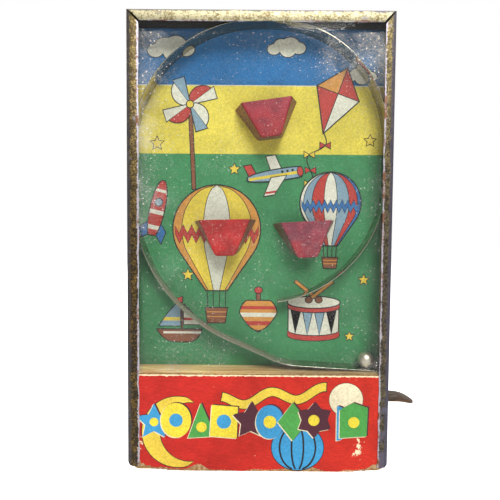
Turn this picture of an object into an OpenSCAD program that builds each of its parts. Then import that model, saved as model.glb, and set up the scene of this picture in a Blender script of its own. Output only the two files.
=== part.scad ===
// Handheld pinball game: a shallow box bound in tin edging, with a pane over
// a printed board, two ball tracks bent from tin, three cups, one steel ball
// and a sprung lever. X runs to the right, the pane faces -Y, Z runs up, and
// the origin is the centre of the underside.

/* [Case] */
// Width over the edging
case_w = 130; // [116:1:150]
// Height from the underside to the top of the edging
case_h = 227; // [215:1:250]
// Thickness over the front and back lips
case_t = 20; // [19:0.5:26]
// Thickness of the strawboard side walls
wall_t = 1.1; // [0.8:0.1:1.6]
// Height of the rail under the top edging
top_rail_h = 2.4; // [2:0.2:5]
// Height of the rail that closes the foot
bottom_rail_h = 9; // [7:0.5:12]
// Thickness of the back board
back_board_t = 2; // [1.4:0.1:2.6]
// Width of the battens behind the playfield
batten_w = 4; // [3:0.5:8]
// Radius of the worn lower corners of the boards
board_corner_r = 4; // [3.5:0.5:7]

/* [Tin edging] */
// Thickness of the tinplate
tin_t = 0.4; // [0.3:0.05:0.6]
// Width of the front lip
lip_w = 5.5; // [4.5:0.1:7.5]
// Rise of the crown along the middle of the front lip
lip_crown = 0.36; // [0.2:0.02:0.5]
// Width of the back lip
back_lip_w = 4.6; // [3:0.2:7]
// Height at which the lips end above the underside
edging_foot = 2.8; // [1:0.2:5]
// Radius of the rounded lower ends of the lips
edging_foot_r = 3; // [1.5:0.5:4]
// Width of the open mitre in the front lip at each top corner
mitre_gap = 0.5; // [0.2:0.1:1]

/* [Pane and panel] */
// Thickness of the pane
pane_t = 1.6; // [1.2:0.1:2.2]
// Height of the printed panel below the pane
panel_h = 49.2; // [40:0.2:58]
// Height of the open seam between the panel and the pane
seam_h = 0.7; // [0.2:0.1:1.2]
// Thickness of the printed papers
paper_t = 0.2; // [0.1:0.05:0.3]

/* [Playfield] */
// Clear depth between the pane and the printed board
play_depth = 8.9; // [8.6:0.1:9.6]
// Thickness of the board under the print
playfield_t = 1.4; // [1:0.1:2]
// Height of the cross rail's top above the underside
cross_rail_top = 50.4; // [46:0.2:60]
// Height of the cross rail itself
cross_rail_h = 6.5; // [5:0.5:8]

/* [Ball tracks] */
// Thickness of the track strips
track_t = 0.45; // [0.3:0.05:0.6]
// Gap between the tracks and the pane
track_gap = 0.3; // [0.1:0.05:0.5]
// Place of the tracks' joint under the top rail, right of the middle
track_joint_x = 2.4; // [-4:0.1:6]
// Straight run of each track from the joint to its upper bend
top_flat = 3.7; // [2:0.1:8]
// Radius of the left track's lower bend
left_low_r = 80; // [60:1:90]
// Slope of the left track between its lower bend and the ledge
incline = 23.9; // [18:0.1:30]
// Place where the incline would meet the ledge, from the middle
dip_x = 12.9; // [5:0.5:20]
// Radius of the bend from the incline to the ledge
dip_r = 40; // [20:1:60]
// Slope of the ledge down to the launch corner
ledge_slope = 3.2; // [1:0.1:4]
// Radius of the right track's lower bend
right_low_r = 64; // [45:0.5:66]
// Height of the lowest point of the right track's curl
curl_z = 84.6; // [80:0.2:95]
// Angle of the curl left off before its lowest point
curl_end = -10; // [-12:1:10]
// Width of the tabs that hold tracks and cups to the board
tab_w = 3; // [2:0.2:4]
// Length of each tab's clinched end
clinch_l = 1.6; // [1:0.1:2.2]

/* [Cups] */
// Width of a cup's front at its mouth
cup_mouth_w = 24.6; // [20:0.2:28]
// Width of a cup's front at its foot
cup_foot_w = 9.4; // [7:0.2:12]
// Height of a cup's front
cup_h = 17.8; // [14:0.2:20]
// Thickness of the cups' tin
cup_t = 0.35; // [0.25:0.05:0.5]
// How far each side wall splays outwards at the mouth
cup_splay = 3.4; // [1:0.2:5]
// How far each side wall splays outwards at the foot
cup_foot_splay = 1; // [0:0.2:2]
// How far the floor of a cup rises towards the board
cup_floor_rise = 1; // [0:0.2:2]
// Gap between a cup's front and the pane
cup_gap = 0.15; // [0.1:0.05:0.3]
// Place of the top cup's middle across the board
top_cup_x = 4.2; // [-10:0.2:15]
// Height of the top cup's middle
top_cup_z = 176.5; // [165:0.5:190]
// Lean of the top cup, right side up
top_cup_lean = 8; // [-10:1:10]
// Place of the left cup's middle across the board
left_cup_x = -17.2; // [-24:0.2:-15]
// Height of the left cup's middle
left_cup_z = 117.6; // [112:0.5:130]
// Lean of the left cup, right side up
left_cup_lean = 1.6; // [-8:0.2:8]
// Place of the right cup's middle across the board
right_cup_x = 23.7; // [18:0.2:27]
// Height of the right cup's middle
right_cup_z = 117; // [112:0.5:130]
// Lean of the right cup, right side up
right_cup_lean = 3.4; // [-8:0.2:8]

/* [Ball] */
// Diameter of the steel ball
ball_d = 8; // [7:0.05:8.4]

/* [Lever] */
// Thickness of the lever's steel
lever_t = 0.9; // [0.7:0.1:1.2]
// Width of the lever
lever_w = 11.2; // [9:0.2:11.6]
// Height of the lever's flat arm above the underside
lever_z = 35.6; // [30:0.2:38]
// Reach of the finger end beyond the case
finger_reach = 15.6; // [10:0.2:22]
// Flat length of the finger arm beyond the case
finger_flat = 5; // [3:0.5:8]
// Radius of the finger end's downward curve
finger_curve_r = 26; // [15:1:30]
// Gap between the striker and the right wall at rest
striker_gap = 4.3; // [4.2:0.1:5.5]
// Width of the striker
striker_w = 4.4; // [3:0.2:5]
// Depth of the striker's top below the ball's middle
striker_drop = 0.8; // [0:0.1:1.6]
// Inner radius of the bends in the lever
bend_r = 0.6; // [0.4:0.1:1]
// Distance of the pivot behind the striker's face
pivot_setback = 2.2; // [1.5:0.1:3.5]
// Height of the pivot above the lever's flat arm
pivot_rise = 2.9; // [2.4:0.1:4]
// Radius of the ears that carry the pivot
ear_r = 2.3; // [1.9:0.1:2.6]
// Angle through which the finger end can be pressed
press_angle = 11; // [8:0.5:11]
// Room under the lever's arm in its slot, at rest
slot_room = 4.5; // [3:0.1:6]

/* [Spring and nails] */
// Outer diameter of the lever spring
spring_d = 3.6; // [3:0.1:4.4]
// Diameter of the spring wire
wire_d = 0.4; // [0.3:0.05:0.5]
// Turns in the spring
spring_turns = 14; // [8:1:16]
// Height of the spring's lower loop
spring_foot_z = 14; // [13:0.5:18]
// Diameter of the pivot nail
pivot_d = 2.2; // [1.8:0.1:2.6]
// Diameter of the spring's nail
spring_pin_d = 1.4; // [1:0.1:1.8]
// Diameter of the edging pins
edging_pin_d = 1.2; // [0.8:0.1:1.4]
// Thickness of the mechanism block
block_t = 2.6; // [2:0.1:2.8]
// Thickness of the pivot washer
washer_t = 0.4; // [0.3:0.05:0.5]

/* [Hidden] */
$fn = 64;

fit = 0.05;         // running clearance between the lever and its nail
seat = 0.2;         // clearance of boards inside the edging
slot_gap = 0.1;     // clearance of tabs in their slots
touch = 0.04;       // gap between the ball and what it rests on
root = 0.3;         // length of a tab inside the strip that it leaves
over = 1;           // how far a cutting shape runs past the surface it cuts

// Depths, from the front lip to the back lip
front_y = -case_t / 2;
pane_y = front_y + lip_crown + tin_t;
bay_front_y = pane_y + pane_t;
print_y = bay_front_y + play_depth;
board_y = print_y + paper_t;
board_back_y = board_y + playfield_t;
back_y = case_t / 2 - tin_t - back_board_t;

// Widths and heights inside the edging
web_x = case_w / 2 - tin_t;
bay_x = web_x - wall_t;
sheet_x = web_x - seat;
sheet_top = case_h - tin_t - seat;
roof_z = case_h - tin_t - top_rail_h;
cross_rail_z = cross_rail_top - cross_rail_h;
wall_foot_z = edging_foot + edging_foot_r;
pane_z = panel_h + seam_h;
lip_r = (pow(lip_w / 2, 2) + pow(lip_crown, 2)) / (2 * lip_crown);

// Tracks: centre lines of the strips, in the plane of the board
track_y = bay_front_y + track_gap;
track_h = print_y - track_y;
track_x = bay_x - track_t / 2;
track_top = roof_z - track_t / 2;
left_top_r = track_x + track_joint_x - top_flat;
right_top_r = track_x - track_joint_x - top_flat;
left_top_c = [-track_x + left_top_r, track_top - left_top_r];
right_top_c = [track_x - right_top_r, track_top - right_top_r];
right_low_c = [track_x - right_low_r, curl_z + right_low_r];
ledge_z = cross_rail_top + track_t / 2 + touch;
dip = [dip_x, ledge_z + (bay_x - dip_x) * tan(ledge_slope)];
dip_turn = incline - ledge_slope;
dip_run = dip_r * tan(dip_turn / 2);
dip_start = dip + dip_run * [-cos(incline), sin(incline)];
dip_end = dip + dip_run * [cos(ledge_slope), -sin(ledge_slope)];
dip_c = dip_start + dip_r * [sin(incline), cos(incline)];
left_low_x = -track_x + left_low_r;
incline_l = (dip[0] + left_low_r * sin(incline) - left_low_x) / cos(incline);
incline_top = dip + incline_l * [-cos(incline), sin(incline)];
left_low_c = [left_low_x, incline_top[1] + left_low_r * cos(incline)];

// Lever, ball and spring
lever_y = bay_front_y + 0.9;
lever_mid_y = lever_y + lever_w / 2;
ball_r = ball_d / 2;
ball_y = bay_front_y + play_depth / 2;
striker_x = bay_x - striker_gap;
ball_near_x = striker_x - ball_r;
ball_z = ledge_z + (bay_x - ball_near_x) * tan(ledge_slope)
       + (track_t / 2 + ball_r + touch) / cos(ledge_slope);
ball_x = striker_x - sqrt(pow(ball_r, 2) - pow(striker_drop, 2)) - touch;
striker_top = ball_z - striker_drop;
pivot_x = striker_x - pivot_setback;
pivot_z = lever_z + pivot_rise;
finger_x = case_w / 2 + finger_flat;
finger_tip_x = case_w / 2 + finger_reach;
tongue_root_x = striker_x + lever_t + bend_r;
tongue_z = lever_z + lever_t / 2 + bend_r;
tongue_l = striker_top - tongue_z + (bend_r + lever_t / 2) * PI / 2;
lanced_x = tongue_root_x - tongue_l;
neck = 1.5;         // metal between the spring's hole and the tail's end
hook_hole_r = 0.6;
hook_margin = 1.1;  // metal between the spring's hole and the lanced opening
spring_r = (spring_d - wire_d) / 2;
hook_x = lanced_x - hook_margin - 2 * hook_hole_r - neck / 2;
tail_x = hook_x - neck / 2;
hook_y = lever_mid_y - spring_r;
hook_inner_r = spring_r - wire_d / 2;
hook_lift = sqrt(pow(hook_inner_r, 2) - pow(neck / 2, 2)) - touch;
hook_z = lever_z + lever_t / 2 - hook_lift;
spring_pin_z = spring_foot_z - hook_inner_r + spring_pin_d / 2 + touch;
block_y = back_y - block_t;
block_x = hook_x - 4;
nail_end_y = back_y + back_board_t * 0.8;

// The slot in the right side, with the lever against its top at rest
slot_y = lever_y - 0.4;
slot_w = lever_w + 0.8;
slot_top = lever_z + lever_t / 2 + fit;
slot_foot = lever_z - lever_t / 2 - slot_room;

// Edging pins as [side, depth, height]
batten_y = (board_back_y + back_y) / 2;
edging_pins_at = [[-1, ball_y, cross_rail_z + cross_rail_h / 2], [1, block_y + block_t / 2, 22],
                  [-1, 0, wall_foot_z + 1.7], [1, 0, wall_foot_z + 1.7],
                  [-1, batten_y, case_h * 0.5], [1, batten_y, case_h * 0.5],
                  [-1, batten_y, case_h * 0.85], [1, batten_y, case_h * 0.85]];
edging_pin_l = 5;
edging_pin_head_r = 1.1;
edging_pin_head_t = 0.25;

// Tabs of the tracks as [place, direction of the strip]
function on_arc(c, r, a) = [[c[0] + r * cos(a), c[1] + r * sin(a)], a + 90];
tab_x = bay_x - batten_w - tab_w / 2;
function batten_angle(c, r, side) = acos((tab_x - side * c[0]) / r);
left_top_tabs = [100, 128, 180 - batten_angle(left_top_c, left_top_r, -1)];
left_low_tabs = [180 + batten_angle(left_low_c, left_low_r, -1), 216, 236];
right_top_tabs = [80, 50, batten_angle(right_top_c, right_top_r, 1)];
right_low_tabs = [-batten_angle(right_low_c, right_low_r, 1), -40, -62, -82];
left_tabs = concat([for (a = left_top_tabs) on_arc(left_top_c, left_top_r, a)],
                   [for (a = left_low_tabs) on_arc(left_low_c, left_low_r, a)],
                   [[dip_start + 4 * [-cos(incline), sin(incline)], -incline]]);
right_tabs = concat([for (a = right_top_tabs) on_arc(right_top_c, right_top_r, a)],
                    [for (a = right_low_tabs) on_arc(right_low_c, right_low_r, a)]);

// Cups as [x, z, lean]
top_cup = [top_cup_x, top_cup_z, top_cup_lean];
left_cup = [left_cup_x, left_cup_z, left_cup_lean];
right_cup = [right_cup_x, right_cup_z, right_cup_lean];
cup_y = bay_front_y + cup_gap;
cup_depth = print_y - cup_y;
cup_side_angle = atan((cup_mouth_w - cup_foot_w) / 2 / cup_h);
cup_back_angle = atan(((cup_mouth_w - cup_foot_w) / 2 + cup_splay - cup_foot_splay) / cup_h);

// A box given by its low and high corners
module block(low, high) {
    translate(low) cube(high - low);
}

// A flat shape drawn in X and Z, standing from depth y0 to depth y1
module slab(y0, y1) {
    translate([0, y1, 0]) rotate([90, 0, 0]) linear_extrude(y1 - y0) children();
}

// A sheet over the whole front with its lower corners rounded
module rounded_sheet(y0, y1, z0, z1, r) {
    slab(y0, y1) difference() {
        translate([-sheet_x, z0]) square([2 * sheet_x, z1 - z0]);
        for (side = [-1, 1]) foot_corner(side, sheet_x, z0, r);
    }
}

// The waste outside a rounded lower corner, in X and Z
module foot_corner(side, x, z, r) {
    translate([side * x, z]) mirror([side > 0 ? 1 : 0, 0]) difference() {
        translate([-over, -over]) square(r + over);
        translate([r, r]) circle(r);
    }
}

// Straight hole or pin along X through one side of the case
module side_pin(side, y, z, d, x0, x1) {
    translate([side * x0, y, z]) rotate([0, side * 90, 0]) cylinder(d = d, h = x1 - x0);
}

module edging_pin_holes() {
    for (p = edging_pins_at)
        side_pin(p[0], p[1], p[2], edging_pin_d, case_w / 2 - edging_pin_l, case_w / 2 + over);
}

// Section of the edging: inwards along X and backwards along Y
module channel_section() {
    translate([0, lip_crown]) square([tin_t, case_t - lip_crown]);
    translate([0, case_t - tin_t]) square([back_lip_w, tin_t]);
    intersection() {
        translate([lip_w / 2, lip_r]) difference() {
            circle(lip_r, $fn = 256);
            circle(lip_r - tin_t, $fn = 256);
        }
        square([lip_w, lip_crown + tin_t + over / 10]);
    }
}

// One leg of the edging along its outer face, before its mitre
module channel_leg(length) {
    translate([0, 0, -over]) linear_extrude(length + 2 * over) channel_section();
}

module edging_strip() {
    inner_x = case_w / 2 - 2 * lip_w;
    bite = 0.05;    // how far each leg runs past the mitre into the next
    color("#8c7434") difference() {
        union() {
            for (side = [-1, 1]) intersection() {
                translate([side * case_w / 2, front_y, edging_foot])
                    mirror([side > 0 ? 1 : 0, 0, 0]) channel_leg(case_h - edging_foot);
                slab(-case_t, case_t) polygon([
                    [side * case_w, edging_foot], [side * inner_x, edging_foot],
                    [side * inner_x, case_h - 2 * lip_w + bite], [side * (case_w / 2 - bite), case_h],
                    [side * case_w, case_h]]);
            }
            intersection() {
                translate([-case_w / 2, front_y, case_h]) rotate([0, 90, 0]) channel_leg(case_w);
                slab(-case_t, case_t) polygon([
                    [-case_w / 2, case_h + over], [-case_w / 2, case_h - bite],
                    [-inner_x, case_h - 2 * lip_w - bite], [inner_x, case_h - 2 * lip_w - bite],
                    [case_w / 2, case_h - bite], [case_w / 2, case_h + over]]);
            }
        }
        for (side = [-1, 1]) {
            slab(-case_t, case_t) foot_corner(side, case_w / 2, edging_foot, edging_foot_r);
            translate([side * case_w / 2, 0, case_h]) rotate([0, side * 45, 0])
                translate([0, front_y + lip_crown / 2, -lip_w])
                    cube([mitre_gap, 2 * tin_t + lip_crown, 2 * lip_w * 0.86], center = true);
        }
        lever_slot();
        edging_pin_holes();
    }
}

module lever_slot() {
    block([bay_x - over, slot_y, slot_foot], [case_w / 2 + over, slot_y + slot_w, slot_top]);
}

module glass_pane() {
    color("#dfe8e4", 0.35)
        block([-sheet_x, pane_y, pane_z], [sheet_x, bay_front_y, sheet_top]);
}

module panel_board() {
    color("#b98a50") rounded_sheet(pane_y + paper_t, bay_front_y, 0, panel_h, board_corner_r);
}

module panel_paper() {
    color("#dc3a30") rounded_sheet(pane_y, pane_y + paper_t, 0, panel_h, board_corner_r);
}

module back_board() {
    color("#8f8069") difference() {
        rounded_sheet(back_y, back_y + back_board_t, 0, sheet_top, board_corner_r);
        nail_holes();
    }
}

module wall(side, foot, head) {
    color("#a8895c") difference() {
        translate([side > 0 ? bay_x : -web_x, bay_front_y, foot])
            cube([wall_t, back_y - bay_front_y, head - foot]);
        edging_pin_holes();
    }
}

module left_wall() {
    wall(-1, wall_foot_z, case_h - tin_t);
}

// The right wall is in two lengths, and the lever passes between them
module right_wall_upper() {
    wall(1, slot_top, case_h - tin_t);
}

module right_wall_lower() {
    wall(1, wall_foot_z, slot_foot);
}

module top_rail() {
    color("#c9a56c")
        block([-bay_x, bay_front_y, roof_z], [bay_x, back_y, case_h - tin_t]);
}

module bottom_rail() {
    color("#c9a56c") difference() {
        slab(bay_front_y, back_y) difference() {
            translate([-bay_x, 0]) square([2 * bay_x, bottom_rail_h]);
            for (side = [-1, 1]) foot_corner(side, bay_x, 0, board_corner_r);
        }
        edging_pin_holes();
    }
}

module cross_rail() {
    striker_room = 0.5;
    color("#d3b97e") difference() {
        block([-bay_x, bay_front_y, cross_rail_z], [bay_x, board_y, cross_rail_top]);
        block([striker_x - striker_room, ball_y - striker_w / 2 - striker_room, cross_rail_z - over],
              [bay_x + over, ball_y + striker_w / 2 + striker_room, cross_rail_top + over]);
        edging_pin_holes();
    }
}

module batten(side) {
    color("#c9a56c") difference() {
        translate([side > 0 ? bay_x - batten_w : -bay_x, board_back_y, cross_rail_z])
            cube([batten_w, back_y - board_back_y, roof_z - cross_rail_z]);
        edging_pin_holes();
    }
}

module left_batten() {
    batten(-1);
}

module right_batten() {
    batten(1);
}

// A tin tab through the board, or with room around it the slot it passes
module tab(place, direction, tin, room) {
    translate([place[0], 0, place[1]]) rotate([0, -direction, 0])
        block([-tab_w / 2 - room, print_y - (room > 0 ? over : root), -tin / 2 - room],
              [tab_w / 2 + room, board_back_y + (room > 0 ? over : tin), tin / 2 + room]);
}

// The tab's end, turned over flat against the back of the board
module clinch(place, direction, tin) {
    translate([place[0], 0, place[1]]) rotate([0, -direction, 0])
        block([-tab_w / 2, board_back_y, -tin / 2], [tab_w / 2, board_back_y + tin, clinch_l]);
}

track_tab_t = track_t * 0.8;
module tab_slots() {
    for (t = concat(left_tabs, right_tabs)) tab(t[0], t[1], track_tab_t, slot_gap);
    for (c = [top_cup, left_cup, right_cup]) at_cup(c) cup_tabs(slot_gap);
}

module playfield_board() {
    color("#a8895c") difference() {
        block([-bay_x, board_y, cross_rail_z], [bay_x, board_back_y, roof_z]);
        tab_slots();
    }
}

module playfield_paper() {
    color("#4d9a66") difference() {
        block([-bay_x, print_y, cross_rail_top], [bay_x, board_y, roof_z]);
        tab_slots();
    }
}

// Points every two degrees along an arc about c, from angle a0 round to angle a1
function arc(c, r, a0, a1) = let (n = ceil(abs(a1 - a0) / 2))
    [for (i = [0 : n]) let (a = a0 + (a1 - a0) * i / n) c + r * [cos(a), sin(a)]];
function backwards(p) = [for (i = [len(p) - 1 : -1 : 0]) p[i]];

// One face of each bent strip; side is 1 for its outer face and -1 for its inner
function left_face(side) = let (half = side * track_t / 2) concat(
    [[track_joint_x - touch, track_top + half]],
    arc(left_top_c, left_top_r + half, 90, 180),
    arc(left_low_c, left_low_r + half, 180, 270 - incline),
    arc(dip_c, dip_r + half, 270 - incline, 270 - ledge_slope),
    [[bay_x - touch, ledge_z - half / cos(ledge_slope)]]);
function right_face(side) = let (half = side * track_t / 2) concat(
    [[track_joint_x + touch, track_top + half]],
    arc(right_top_c, right_top_r + half, 90, 0),
    arc(right_low_c, right_low_r + half, 0, -90 - curl_end));

module track_tabs(places) {
    for (t = places) {
        tab(t[0], t[1], track_tab_t, 0);
        clinch(t[0], t[1], track_tab_t);
    }
}

module left_track() {
    notch = 0.5;
    color("#8c8878") {
        difference() {
            slab(track_y, print_y) polygon(concat(left_face(1), backwards(left_face(-1))));
            block([striker_x - notch, ball_y - striker_w / 2 - notch, cross_rail_top - over],
                  [bay_x + over, ball_y + striker_w / 2 + notch, ledge_z + 2 * over]);
        }
        track_tabs(left_tabs);
    }
}

module right_track() {
    color("#8c8878") {
        slab(track_y, print_y) polygon(concat(right_face(1), backwards(right_face(-1))));
        track_tabs(right_tabs);
    }
}

module at_cup(c) {
    translate([c[0], 0, c[1]]) rotate([0, -c[2], 0]) children();
}

// Half width of a cup at part k of its height and part d of its depth
function cup_half_w(k, d) = (cup_foot_w + (cup_mouth_w - cup_foot_w) * k) / 2
                          + d * (cup_foot_splay + (cup_splay - cup_foot_splay) * k);

// The four corners of a cup's section at depth y, drawn in by an inset
function cup_corners(y, inset, rise) = let (
    d = (y - cup_y) / cup_depth,
    foot = -cup_h / 2 + d * cup_floor_rise + inset,
    top = cup_h / 2 + rise,
    foot_w = cup_half_w(foot / cup_h + 0.5, d) - inset / cos(cup_side_angle),
    top_w = cup_half_w(top / cup_h + 0.5, d) - inset / cos(cup_side_angle)
) [[-top_w, y, top], [top_w, y, top], [foot_w, y, foot], [-foot_w, y, foot]];

// Solid between a cup's section at y0 and its section at y1
module cup_form(y0, y1, inset, rise) {
    polyhedron(
        points = concat(cup_corners(y0, inset, rise), cup_corners(y1, inset, rise)),
        faces = [[0, 1, 2], [0, 2, 3], [4, 6, 5], [4, 7, 6], [0, 5, 1], [0, 4, 5],
                 [1, 6, 2], [1, 5, 6], [2, 7, 3], [2, 6, 7], [3, 4, 0], [3, 7, 4]]);
}

cup_tab_t = cup_t * 0.8;
cup_tab_x = cup_half_w(0.5, 1) - cup_t / 2 / cos(cup_back_angle);
cup_tab_z = -cup_h / 2 + cup_floor_rise + cup_t / 2;
module cup_tabs(room) {
    for (side = [-1, 1])
        tab([side * cup_tab_x, 0], side * (90 - cup_back_angle), cup_tab_t, room);
    tab([0, cup_tab_z], 0, cup_tab_t, room);
}

module cup_clinches() {
    for (side = [-1, 1])
        clinch([side * cup_tab_x, 0], side * (90 - cup_back_angle), cup_tab_t);
    clinch([0, cup_tab_z], 0, cup_tab_t);
}

module cup(c) {
    at_cup(c) {
        difference() {
            cup_form(cup_y, print_y, 0, 0);
            cup_form(cup_y + cup_t, print_y + over, cup_t, over);
        }
        cup_tabs(0);
        cup_clinches();
    }
}

module cup_top() {
    color("#b84a58") cup(top_cup);
}

module cup_left() {
    color("#cf3a3a") cup(left_cup);
}

module cup_right() {
    color("#b4505c") cup(right_cup);
}

module ball() {
    color("#b9b4a6") translate([ball_x, ball_y, ball_z]) sphere(ball_r);
}

// The lever's flat arm and curved finger end, seen from the side
module lever_arm() {
    sweep = asin((finger_tip_x - finger_x) / finger_curve_r);
    centre = [finger_x, lever_z - finger_curve_r];
    slab(lever_y, lever_y + lever_w) polygon(concat(
        [[tail_x, lever_z + lever_t / 2]],
        arc(centre, finger_curve_r + lever_t / 2, 90, 90 - sweep),
        arc(centre, finger_curve_r - lever_t / 2, 90 - sweep, 90),
        [[tail_x, lever_z - lever_t / 2]]));
}

// Its outline from above: a rounded finger end and a narrowed tail
module lever_outline() {
    tail_corner = 2;
    round_r = lever_w / 2;
    translate([0, lever_mid_y]) {
        polygon([[tail_x, tail_corner - round_r], [tail_x + tail_corner, -round_r],
                 [finger_tip_x - round_r, -round_r], [finger_tip_x - round_r, round_r],
                 [tail_x + tail_corner, round_r], [tail_x, round_r - tail_corner]]);
        translate([finger_tip_x - round_r, 0]) circle(round_r);
    }
}

// The striker: a tongue lanced from the arm and bent up behind the ball
module striker() {
    centre = [tongue_root_x, tongue_z];
    slab(ball_y - striker_w / 2, ball_y + striker_w / 2) polygon(concat(
        [[striker_x + lever_t, striker_top], [striker_x, striker_top]],
        arc(centre, bend_r + lever_t, 180, 270),
        [[tongue_root_x + root, lever_z - lever_t / 2], [tongue_root_x + root, lever_z + lever_t / 2]],
        arc(centre, bend_r, 270, 180)));
}

// One ear, folded up from the edge of the arm, from depth y
module ear(y) {
    foot_half = ear_r + 1;
    slab(y, y + lever_t) {
        translate([pivot_x, pivot_z]) circle(ear_r);
        translate([pivot_x, lever_z]) polygon([
            [-foot_half, 0], [foot_half, 0], [ear_r * 0.8, pivot_rise], [-ear_r * 0.8, pivot_rise]]);
    }
}

module lever() {
    color("#5b4a38") difference() {
        union() {
            difference() {
                intersection() {
                    lever_arm();
                    linear_extrude(2 * lever_z) lever_outline();
                }
                block([lanced_x, ball_y - striker_w / 2, lever_z - lever_t],
                      [tongue_root_x, ball_y + striker_w / 2, lever_z + lever_t]);
            }
            striker();
            ear(lever_y);
            ear(lever_y + lever_w - lever_t);
        }
        translate([pivot_x, lever_y - over, pivot_z]) rotate([-90, 0, 0])
            cylinder(d = pivot_d + 2 * fit, h = lever_w + 2 * over);
        translate([hook_x + neck / 2 + hook_hole_r, hook_y, lever_z - lever_t])
            cylinder(r = hook_hole_r, h = 2 * lever_t);
    }
}

// A nail along Y, with its head in front
module nail(x, z, d, head_d, head_t, y) {
    translate([x, y, z]) rotate([-90, 0, 0]) {
        cylinder(d = d, h = nail_end_y - y);
        cylinder(d = head_d, h = head_t);
    }
}

pivot_head_t = 0.6;
pivot_head_y = lever_y - 0.15 - pivot_head_t;
spring_pin_head_t = 0.5;
spring_pin_y = hook_y - wire_d - 0.3 - spring_pin_head_t;

module pivot_pin() {
    color("#77736b") nail(pivot_x, pivot_z, pivot_d, 2.2 * pivot_d, pivot_head_t, pivot_head_y);
}

module spring_pin() {
    color("#77736b")
        nail(hook_x, spring_pin_z, spring_pin_d, 2 * spring_pin_d, spring_pin_head_t, spring_pin_y);
}

module nail_holes() {
    for (n = [[pivot_x, pivot_z, pivot_d], [hook_x, spring_pin_z, spring_pin_d]])
        translate([n[0], 0, n[1]]) rotate([-90, 0, 0]) cylinder(d = n[2], h = nail_end_y);
}

module mechanism_block() {
    color("#c9a56c") difference() {
        block([block_x, block_y, bottom_rail_h], [bay_x, back_y, cross_rail_z]);
        nail_holes();
        edging_pin_holes();
    }
}

module pivot_washer() {
    washer_y = block_y - washer_t;
    color("#9a958a") translate([pivot_x, washer_y, pivot_z]) rotate([-90, 0, 0]) difference() {
        cylinder(d = 2 * pivot_d, h = washer_t);
        translate([0, 0, -over]) cylinder(d = pivot_d + 2 * fit, h = washer_t + 2 * over);
    }
}

// Centre line of the spring's wire: lower loop, coils, upper loop
loop_steps = 10;
coil_steps = 12;
coil_z0 = spring_foot_z + spring_r;
coil_z1 = hook_z - spring_r;
spring_path = concat(
    [for (i = [0 : loop_steps - 1]) let (a = -300 + 300 * i / loop_steps)
        [hook_x + spring_r * sin(a), hook_y, spring_foot_z + spring_r * cos(a)]],
    [for (i = [0 : spring_turns * coil_steps]) let (a = 360 * i / coil_steps)
        [hook_x + spring_r * sin(a), lever_mid_y - spring_r * cos(a),
         coil_z0 + (coil_z1 - coil_z0) * i / (spring_turns * coil_steps)]],
    [for (i = [1 : loop_steps]) let (a = 300 * i / loop_steps)
        [hook_x + spring_r * sin(a), hook_y, hook_z - spring_r * cos(a)]]);

function unit(v) = v / norm(v);
function heading(p, i) = unit(p[min(i + 1, len(p) - 1)] - p[max(i - 1, 0)]);

// A direction square to the path at each point, carried along without twist
function carried(p, i, n) = i >= len(p) ? [] : let (
    h = heading(p, i),
    m = unit(n - (n * h) * h)
) concat([m], carried(p, i + 1, m));

// Round wire along a path
module wire(p, d, sides) {
    normals = carried(p, 0, [0, 1, 0]);
    last = len(p) - 1;
    polyhedron(
        points = [for (i = [0 : last]) for (j = [0 : sides - 1])
            let (a = 360 * j / sides, m = normals[i])
            p[i] + d / 2 * (cos(a) * m + sin(a) * cross(heading(p, i), m))],
        faces = concat(
            [[for (j = [0 : sides - 1]) j]],
            [[for (j = [sides - 1 : -1 : 0]) last * sides + j]],
            [for (i = [0 : last - 1]) for (j = [0 : sides - 1]) let (k = (j + 1) % sides)
                [i * sides + j, (i + 1) * sides + j, (i + 1) * sides + k]],
            [for (i = [0 : last - 1]) for (j = [0 : sides - 1]) let (k = (j + 1) % sides)
                [i * sides + j, (i + 1) * sides + k, i * sides + k]]));
}

module lever_spring() {
    color("#a7a299") wire(spring_path, wire_d, 6);
}

module edging_pins() {
    color("#9c8650") for (p = edging_pins_at) {
        side_pin(p[0], p[1], p[2], edging_pin_d, case_w / 2 - edging_pin_l + fit, case_w / 2);
        side_pin(p[0], p[1], p[2], 2 * edging_pin_head_r, case_w / 2,
                 case_w / 2 + edging_pin_head_t);
    }
}

edging_strip();
glass_pane();
panel_board();
panel_paper();
playfield_board();
playfield_paper();
back_board();
left_wall();
right_wall_upper();
right_wall_lower();
top_rail();
bottom_rail();
cross_rail();
left_batten();
right_batten();
left_track();
right_track();
cup_top();
cup_left();
cup_right();
ball();
lever();
mechanism_block();
pivot_pin();
pivot_washer();
lever_spring();
spring_pin();
edging_pins();
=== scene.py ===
import math
import bmesh
import bpy
import numpy as np
from mathutils import Matrix, Vector


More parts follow.
